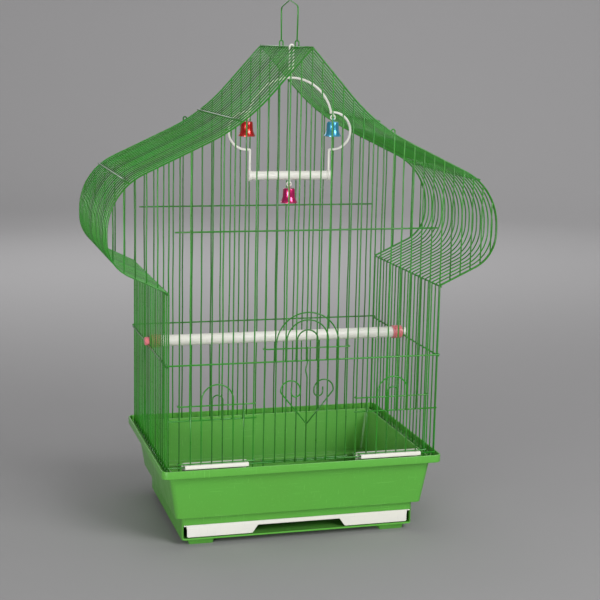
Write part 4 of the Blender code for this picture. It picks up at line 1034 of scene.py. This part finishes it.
def build_cup(name, side):
    """Feed trough inside the tub, hung by its neck over the front."""
    edge = settings().moulded.white_edge
    wall, taper, depth, drop = 0.0015, 0.003, 0.028, 0.0046
    middle = side * FEED_CENTRE * PITCH
    top = CUP_NECK_Z + wall
    rim, bottom = top - 0.0087, top - 0.0355
    front, outer = -GUTTER_Y + RIM_WALL + 0.0012, -PANEL_Y - 0.0065
    lip_half = FEED_GUIDE * PITCH - 0.0063
    out_x, out_y = lip_half - 0.0015, depth / 2
    profile = [(taper + 0.002, bottom, 0.0065), (taper + 0.0002, bottom + 0.002, 0.007), (0, rim, 0.007),
               (wall, rim, 0.0055), (wall + taper, bottom + wall + 0.002, 0.0055),
               (wall + taper + 0.002, bottom + wall, 0.0045)]
    path = softened(profile, edge, least=30)
    centre = (middle, front + depth / 2)
    rings = [rounded_rectangle(out_x - a, out_y - a, r, z, 6, centre) for a, z, r in path]
    cup = lofted_object(f"white_cup_{name}", rings)
    outline = [(front, rim - wall), (front + wall, rim - wall), (front + wall, top), (outer, top),
               (outer, top - drop), (outer + wall, top - drop), (outer + wall, CUP_NECK_Z),
               (front, CUP_NECK_Z)]
    outline = softened(outline, 0.0006, closed=True)
    merged(cup, slab_object("lip", outline, middle - lip_half, middle + lip_half, "X", edge))
    finished(cup, "white plastic", "cage", f"feed_cup_{name}")


def build_perch():
    """Dowel in a grooved sleeve on the right and a grooved cap on the left; both saddle a side belt wire."""
    radius, wall, length, cap_wall = 0.007, 0.0011, 0.0125, 0.0015
    y, z = 0.5 * SIDE_PITCH, SIDE_BELT_Z + 0.0045
    shoulder, rail_x = WALL_X - WIRE - GAP, WALL_X + RAIL_OUT
    bore = radius + GAP
    neck = SIDE_PITCH / 2 - WIRE - 0.0004
    tip = neck + 0.0004
    end = rail_x + RAIL + GAP + 0.003
    head = [(0, end), (tip - 0.0010, end), (tip - 0.0003, end - 0.0003), (tip, end - 0.0010),
            (tip, rail_x - RAIL), (neck, rail_x - RAIL), (neck, shoulder)]
    sleeve = []
    steps = 42
    for i in range(steps + 1):
        along = i / steps
        groove = sum(max(0, 1 - abs(along - g) / 0.07) for g in (0.33, 0.81)) ** 0.7
        ends = 0.0004 * max(0, 1 - min(along, 1 - along) / 0.04) ** 2
        sleeve.append((bore + wall - 0.0006 * groove - ends, shoulder - length * along))
    sleeve.append((bore, shoulder - length))
    start = -(shoulder - cap_wall - GAP)
    stick = [*head, (radius - 0.0004, shoulder), (radius, shoulder - 0.0004), (radius, start), (0, start)]
    closed = [*head, *sleeve, (bore, shoulder - cap_wall), (0, shoulder - cap_wall)]
    ring = [(bore, shoulder), *sleeve]
    for name, node, profile, side in (("white_perch", "perch_dowel", stick, 1),
                                      ("pink_collar_left", "perch_collar_left", closed, -1),
                                      ("pink_collar_right", "perch_collar_right", ring, 1)):
        along = [(r, side * x) for r, x in profile]
        piece = turned_object(name, along, "X", (0, y, z), ring=profile is ring)
        if profile is not ring:
            low, high = side * rail_x - RAIL - GAP, side * rail_x + RAIL + GAP
            base, top = z - 0.014, SIDE_BELT_Z + RAIL + GAP
            saddle = softened([(low, base), (high, base), (high, top), (low, top)], 0.0006, closed=True)
            cut(piece, slab_object("saddle", saddle, y - radius, y + radius, "Y"))
        finished(piece, f"{name.split('_')[0]} plastic", "cage", node)


def lug(centre, toward):
    """A small plate with a hole along X; its root reaches up or down to its carrier."""
    outer, half = LUG_HOLE + LUG_WALL, 0.0006
    bow = [(x, toward * z) for x, z in arc((0, 0), outer, 180, 360, 14)]
    outline = [(-outer, toward * (outer + LUG_WALL)), *bow, (outer, toward * (outer + LUG_WALL))]
    if toward < 0:
        outline.reverse()
    plate = slab_object("lug", outline, -half, half, "X", 0.0002, centre)
    hole = arc((0, 0), LUG_HOLE, 0, 360, 16)[:-1]
    return cut(plate, slab_object("hole", hole, -2 * half, 2 * half, "X", centre=centre))


def swing_eyes():
    """Centres of the holes that the three bells hang in."""
    drop = LUG_HOLE + LUG_WALL / 2
    lobe = LOBE_Z + LOBE_R - 0.0018 - drop
    return [Vector((-LOBE_X, SWING_Y, lobe)), Vector((LOBE_X, SWING_Y, lobe)),
            Vector((0, SWING_Y, SWING_BAR_Z - SWING_BAR_R - drop))]


def moulded_tube(path, radius):
    bm = new_mesh()
    tube(bm, path, radius, random.Random(len(path)), 12)
    return plain_object("run", bm)


def build_swing():
    """Moulded frame with a hook over the ridge wire."""
    y, rod, hook_rod, eye_wall = SWING_Y, 0.0015, 0.0011, 0.0009
    lobe_r = LOBE_R - 0.0007
    hook_r = RIDGE_RAIL + GAP + hook_rod
    top = RIDGE_Z - 0.0371
    drop = top - LOBE_Z - lobe_r
    arch_end = 0.954 * LOBE_X
    arch_r = (arch_end ** 2 + drop ** 2) / (2 * drop)
    reach = degrees(atan2(arch_end, arch_r - drop))
    lobe_start = 95 + degrees(asin((LOBE_X - arch_end) / lobe_r))
    swing = moulded_tube(standing(arc((0, top - arch_r), arch_r, 90 + reach, 90 - reach, 36), y), rod)
    swing.name = "white_swing_frame"
    parts = []
    eye_top = SWING_BAR_Z + SWING_BAR_R + GAP + eye_wall / 2
    ring = arc((y, SWING_BAR_Z), SWING_BAR_R + GAP + eye_wall, 0, 360, 36)[:-1]
    for side in (-1, 1):
        x = side * SWING_LEG_X
        half = [(side * x, z) for x, z in arc((LOBE_X, LOBE_Z), lobe_r, lobe_start, -90, 30)]
        path = standing([*half, (x, LOBE_Z - lobe_r), (x, eye_top)], y)
        parts.append(moulded_tube(softened(path, 0.0009, 4), rod))
        parts.append(slab_object("eye", ring, x - SWING_EYE, x + SWING_EYE, "X", 0.0004))
    join = RIDGE_Z - 0.0310
    tail = join + 0.0033
    path = [(0, top - 0.001), (0, join), (hook_r, join + 0.0044), *arc((0, RIDGE_Z), hook_r, 0, 180, 14),
            (-hook_r, tail + 0.0022), (-hook_r + 0.0005, tail)]
    parts.append(moulded_tube(softened(standing(path, y), 0.0015, 4), hook_rod))
    merged(swing, *parts, *[lug(centre, 1) for centre in swing_eyes()[:2]])
    bore = arc((y, SWING_BAR_Z), SWING_BAR_R + GAP, 0, 360, 36)[:-1]
    cut(swing, slab_object("bore", bore, -0.1, 0.1, "X"))
    finished(swing, "white plastic", "swing", "swing_frame")


def build_swing_bar():
    """The bar that the bird sits on, finely ribbed on both sides of the middle bell's lug."""
    end, round_r = SWING_LEG_X + SWING_EYE + 0.0004, 0.0012
    turns = [radians(a) for a in (0, 30, 60, 90)]
    start = [(0, -end), *((SWING_BAR_R - round_r + round_r * sin(a), -end + round_r - round_r * cos(a))
                          for a in turns)]
    profile = list(start)
    ribbed, rib, groove = SWING_LEG_X - 0.0035, 0.0018, SWING_BAR_R - 0.0003
    count = int((ribbed - 0.003) / rib)
    for first in (-ribbed, ribbed - count * rib):
        for k in range(count):
            h = first + k * rib
            profile += [(SWING_BAR_R, h), (groove, h + 0.3 * rib), (groove, h + 0.5 * rib),
                        (SWING_BAR_R, h + 0.8 * rib)]
    profile += [(r, -h) for r, h in reversed(start)]
    bar = turned_object("white_swing_bar", profile, "X", (0, SWING_Y, SWING_BAR_Z))
    merged(bar, lug(swing_eyes()[2], 1))
    finished(bar, "white plastic", "swing", "swing_bar")


def bell_section(crown, lip):
    """The wall of a bell, from the axis outside the crown round to the axis inside it."""
    body, foot, rim, wall = 0.0074, 0.0079, 0.0106, BELL_WALL
    waist = lip + 0.0055
    outside = [(0, crown), *arc((body - 0.0019, crown - 0.0018), 0.0018, 90, 8, 6),
               (body + 0.0002, crown - 0.006), (foot - 0.0001, waist + 0.0020),
               (foot + 0.0002, waist + 0.0006), (foot + 0.0008, waist - 0.0010),
               (foot + 0.0016, waist - 0.0029), (rim - 0.0005, lip + 0.0013), (rim, lip + 0.0008),
               (rim, lip + 0.0003), (rim - 0.0003, lip)]
    inside = [(rim - wall + 0.0001, lip), (rim - wall, lip + 0.0003),
              (foot - wall + 0.0012, waist - 0.0028), (foot - wall, waist - 0.0006),
              (body - wall + 0.0001, crown - 0.006), (body - wall, crown - 0.0022),
              (body - 0.0019 - wall, crown - wall - 0.0001), (0, crown - wall)]
    return outside + inside


def build_bell(name, eye):
    """Bell with a crown loop, the link that it hangs by, and a clapper on a loop inside."""
    link_x, link_z, link_rod, clapper_rod, clapper_eye = 0.0028, 0.0026, 0.0009, 0.00055, 0.002
    length, ball_drop, ball_r = 0.018, 0.0095, 0.0024
    body, axis = f"{name}_bell", (eye.x, eye.y, 0)
    draw = random.Random(name)
    slack = LUG_HOLE - link_rod - 1.5 * GAP
    link = eye - UP * (slack + link_z)
    crown_eye = link - UP * (link_z + slack)
    crown = crown_eye.z - LUG_HOLE - LUG_WALL / 3
    inside_eye = Vector((eye.x, eye.y, crown - BELL_WALL - LUG_HOLE - LUG_WALL))
    shell = turned_object(body, bell_section(crown, crown - length), "Z", axis)
    merged(shell, lug(crown_eye, -1), lug(inside_eye, 1))
    finished(shell, f"{name} lacquer", body, f"{body}_shell")

    turns = [2 * pi * i / 28 for i in range(28)]
    path = [(link.x + link_x * cos(a), link.y, link.z + link_z * sin(a)) for a in turns]
    bm = new_mesh()
    tube(bm, path, link_rod, draw, 12, closed=True)
    finished(plain_object(f"{body}_ring", bm), "white plastic", body, f"{body}_link")

    hold = inside_eye - UP * (LUG_HOLE - clapper_rod - 1.5 * GAP + clapper_eye)
    path = [(hold.x + clapper_eye * cos(a), hold.y, hold.z + clapper_eye * sin(a)) for a in turns[::2]]
    bm = new_mesh()
    tube(bm, path, clapper_rod, draw, closed=True)
    ball_z = inside_eye.z - ball_drop
    stem_foot, stem_top = ball_z + 0.0028, hold.z - clapper_eye
    ball = [(0, ball_z - ball_r), *arc((0, ball_z), ball_r, -90, 76, 10)[1:]]
    stem = [(clapper_rod, stem_foot), (clapper_rod, stem_top), (0, stem_top)]
    turned(bm, [*ball, *stem], "Z", axis, 16)
    finished(plain_object(f"{body}_hammer", bm), "bell steel", f"{body}_clapper", f"{body}_clapper")


# Operators

class BIRDCAGE_OT_finishes(bpy.types.Operator):
    """Make the materials of wire, plastic, lacquer and steel"""
    bl_idname = "bird_cage.finishes"
    bl_label = "Finishes"
    bl_options = {"REGISTER", "UNDO"}

    def execute(self, context):
        colours = settings().colours
        build_groups()
        build_painted_wire(colours)
        build_tub_plastic(colours)
        build_white_plastic(colours)
        build_pink_plastic(colours)
        for name in BELLS:
            build_bell_lacquer(f"{name} lacquer", getattr(colours, name))
        build_bell_steel(colours)
        return {"FINISHED"}


class BIRDCAGE_OT_panels(bpy.types.Operator):
    """Build the flat front and back of upright wires"""
    bl_idname = "bird_cage.panels"
    bl_label = "Front and back"
    bl_options = {"REGISTER", "UNDO"}

    def execute(self, context):
        build_panel("front", -1)
        build_panel("back", 1)
        return {"FINISHED"}


class BIRDCAGE_OT_sheets(bpy.types.Operator):
    """Build the side walls with their halves of the roof"""
    bl_idname = "bird_cage.sheets"
    bl_label = "Walls and roof"
    bl_options = {"REGISTER", "UNDO"}

    def execute(self, context):
        for name, side in SIDES:
            build_sheet(name, side)
        return {"FINISHED"}


class BIRDCAGE_OT_rails(bpy.types.Operator):
    """Build the cross wires with their welds"""
    bl_idname = "bird_cage.rails"
    bl_label = "Cross wires"
    bl_options = {"REGISTER", "UNDO"}

    def execute(self, context):
        build_rails()
        return {"FINISHED"}


class BIRDCAGE_OT_doors(bpy.types.Operator):
    """Build the main door with its heart, and the two feeding doors"""
    bl_idname = "bird_cage.doors"
    bl_label = "Doors"
    bl_options = {"REGISTER", "UNDO"}

    def execute(self, context):
        build_main_door()
        for name, side in SIDES:
            build_feed_door(name, side)
        return {"FINISHED"}


class BIRDCAGE_OT_tub(bpy.types.Operator):
    """Build the green tub on its base"""
    bl_idname = "bird_cage.tub"
    bl_label = "Tub"
    bl_options = {"REGISTER", "UNDO"}

    def execute(self, context):
        build_tub()
        return {"FINISHED"}


class BIRDCAGE_OT_drawer_and_cups(bpy.types.Operator):
    """Build the litter drawer and the feed cups"""
    bl_idname = "bird_cage.drawer_and_cups"
    bl_label = "Drawer and cups"
    bl_options = {"REGISTER", "UNDO"}

    def execute(self, context):
        build_drawer()
        for name, side in SIDES:
            build_cup(name, side)
        return {"FINISHED"}


class BIRDCAGE_OT_perch(bpy.types.Operator):
    """Build the perch and its collars"""
    bl_idname = "bird_cage.perch"
    bl_label = "Perch"
    bl_options = {"REGISTER", "UNDO"}

    def execute(self, context):
        build_perch()
        return {"FINISHED"}


class BIRDCAGE_OT_swing(bpy.types.Operator):
    """Build the swing and its three bells"""
    bl_idname = "bird_cage.swing"
    bl_label = "Swing and bells"
    bl_options = {"REGISTER", "UNDO"}

    def execute(self, context):
        build_swing()
        build_swing_bar()
        for name, eye in zip(BELLS, swing_eyes()):
            build_bell(name, eye)
        return {"FINISHED"}


class BIRDCAGE_OT_hanger(bpy.types.Operator):
    """Build the wire hanger on the ridge"""
    bl_idname = "bird_cage.hanger"
    bl_label = "Hanger"
    bl_options = {"REGISTER", "UNDO"}

    def execute(self, context):
        build_hanger()
        return {"FINISHED"}


def soft_light(name, place, aim, width, height, power):
    """A rectangular area light that faces a point."""
    light = bpy.data.lights.new(name, "AREA")
    light.shape = "RECTANGLE"
    light.size, light.size_y = width, height
    light.energy = power
    lamp = bpy.data.objects.new(name, light)
    lamp.location = place
    lamp.rotation_euler = (Vector(aim) - Vector(place)).to_track_quat("-Z", "Y").to_euler()
    bpy.context.scene.collection.objects.link(lamp)


class BIRDCAGE_OT_stage(bpy.types.Operator):
    """Set up the floor, the backdrop, the lights and the camera"""
    bl_idname = "bird_cage.stage"
    bl_label = "Stage"
    bl_options = {"REGISTER", "UNDO"}

    def execute(self, context):
        stage = settings().stage
        self.sweep_floor(stage)
        self.light(stage)
        self.aim_camera()
        context.scene.view_settings.view_transform = "Standard"
        return {"FINISHED"}

    def sweep_floor(self, stage):
        """A floor that curves up into a backdrop all round, with a trace of mottling."""
        made = Finish("studio paper", stage.floor, scale=1.5, drift=0.02)
        made.feed("Base Color", made.colour)
        made.fixed(Roughness=0.9, Specular_IOR_Level=0.1)
        profile = [(0, 0), (1.5, 0), (3.2, 0), *arc((3.2, 1.2), 1.2, -80, 0, 10), (4.4, 4.0)]
        floor = turned_object("studio_floor", profile, segments=96)
        floor.data.shade_smooth()
        floor.data.materials.append(made.material)

    def light(self, stage):
        world = bpy.data.worlds.new("room")
        world.use_nodes = True
        shade = world.node_tree.nodes["Background"]
        shade.inputs["Color"].default_value = (1, 1, 1, 1)
        shade.inputs["Strength"].default_value = stage.room
        bpy.context.scene.world = world
        for name, place, aim, width, height in (
                ("key", (1.2, -2.0, 1.5), (0, 0, 0.25), 1.2, 1.2),
                ("fill", (-1.5, -1.9, 0.35), (0, 0, 0.2), 1.2, 0.6),
                ("top", (0, 0.2, 2.4), (0, 0, 0.2), 1.6, 1.6),
                ("rear", (-0.5, 2.3, 1.25), (0, 0, 0.5), 1.6, 0.8),
                ("paper", (0.8, 1.7, 1.9), (1.0, 3.6, 0.2), 3.0, 0.8)):
            soft_light(name, place, aim, width, height, getattr(stage, name))

    def aim_camera(self):
        """The viewing angle of the picture: seen from the front left, a little from above."""
        azimuth, elevation, roll = radians(-15.91), radians(10.47), radians(1.15)
        place = (-0.4576, -1.6950, 0.6029)
        back = Vector((sin(azimuth) * cos(elevation), -cos(azimuth) * cos(elevation), sin(elevation)))
        right = Vector((cos(azimuth), sin(azimuth), 0))
        up = back.cross(right)
        side = cos(roll) * right + sin(roll) * up
        above = cos(roll) * up - sin(roll) * right
        camera = bpy.data.cameras.new("camera")
        camera.lens, camera.sensor_width = 84.48, 36
        camera.clip_start, camera.clip_end = 0.05, 50
        holder = bpy.data.objects.new("camera", camera)
        bpy.context.scene.collection.objects.link(holder)
        turn = Matrix((side, above, back)).transposed().to_4x4()
        holder.matrix_world = Matrix.Translation(place) @ turn
        bpy.context.scene.camera = holder


class BIRDCAGE_PT_sidebar(bpy.types.Panel):
    """Sizes, colours and steps of the bird cage"""
    bl_label = "Bird cage"
    bl_idname = "BIRDCAGE_PT_sidebar"
    bl_space_type = "VIEW_3D"
    bl_region_type = "UI"
    bl_category = "Bird cage"

    def draw(self, context):
        cage = context.scene.bird_cage
        for title, group in (("Wires", cage.wires), ("Mouldings", cage.moulded), ("Colours", cage.colours),
                             ("Stage", cage.stage)):
            box = self.layout.box()
            box.label(text=title)
            for name in group.bl_rna.properties.keys():
                if name not in ("rna_type", "name"):
                    box.prop(group, name)
        for operator in OPERATORS:
            self.layout.operator(operator.bl_idname)


OPERATORS = (BIRDCAGE_OT_finishes, BIRDCAGE_OT_panels, BIRDCAGE_OT_sheets, BIRDCAGE_OT_rails,
             BIRDCAGE_OT_doors, BIRDCAGE_OT_tub, BIRDCAGE_OT_drawer_and_cups, BIRDCAGE_OT_perch,
             BIRDCAGE_OT_swing, BIRDCAGE_OT_hanger, BIRDCAGE_OT_stage)
CLASSES = (WireSizes, MouldedSizes, CageColours, StageSettings, CageSettings, *OPERATORS, BIRDCAGE_PT_sidebar)


def register():
    for kind in CLASSES:
        bpy.utils.register_class(kind)
    bpy.types.Scene.bird_cage = PointerProperty(type=CageSettings)


def unregister():
    del bpy.types.Scene.bird_cage
    for kind in reversed(CLASSES):
        bpy.utils.unregister_class(kind)


def main():
    register()
    bpy.ops.bird_cage.finishes()
    bpy.ops.bird_cage.panels()
    bpy.ops.bird_cage.sheets()
    bpy.ops.bird_cage.rails()
    bpy.ops.bird_cage.doors()
    bpy.ops.bird_cage.tub()
    bpy.ops.bird_cage.drawer_and_cups()
    bpy.ops.bird_cage.perch()
    bpy.ops.bird_cage.swing()
    bpy.ops.bird_cage.hanger()
    bpy.ops.bird_cage.stage()


if __name__ == "__main__":
    main()
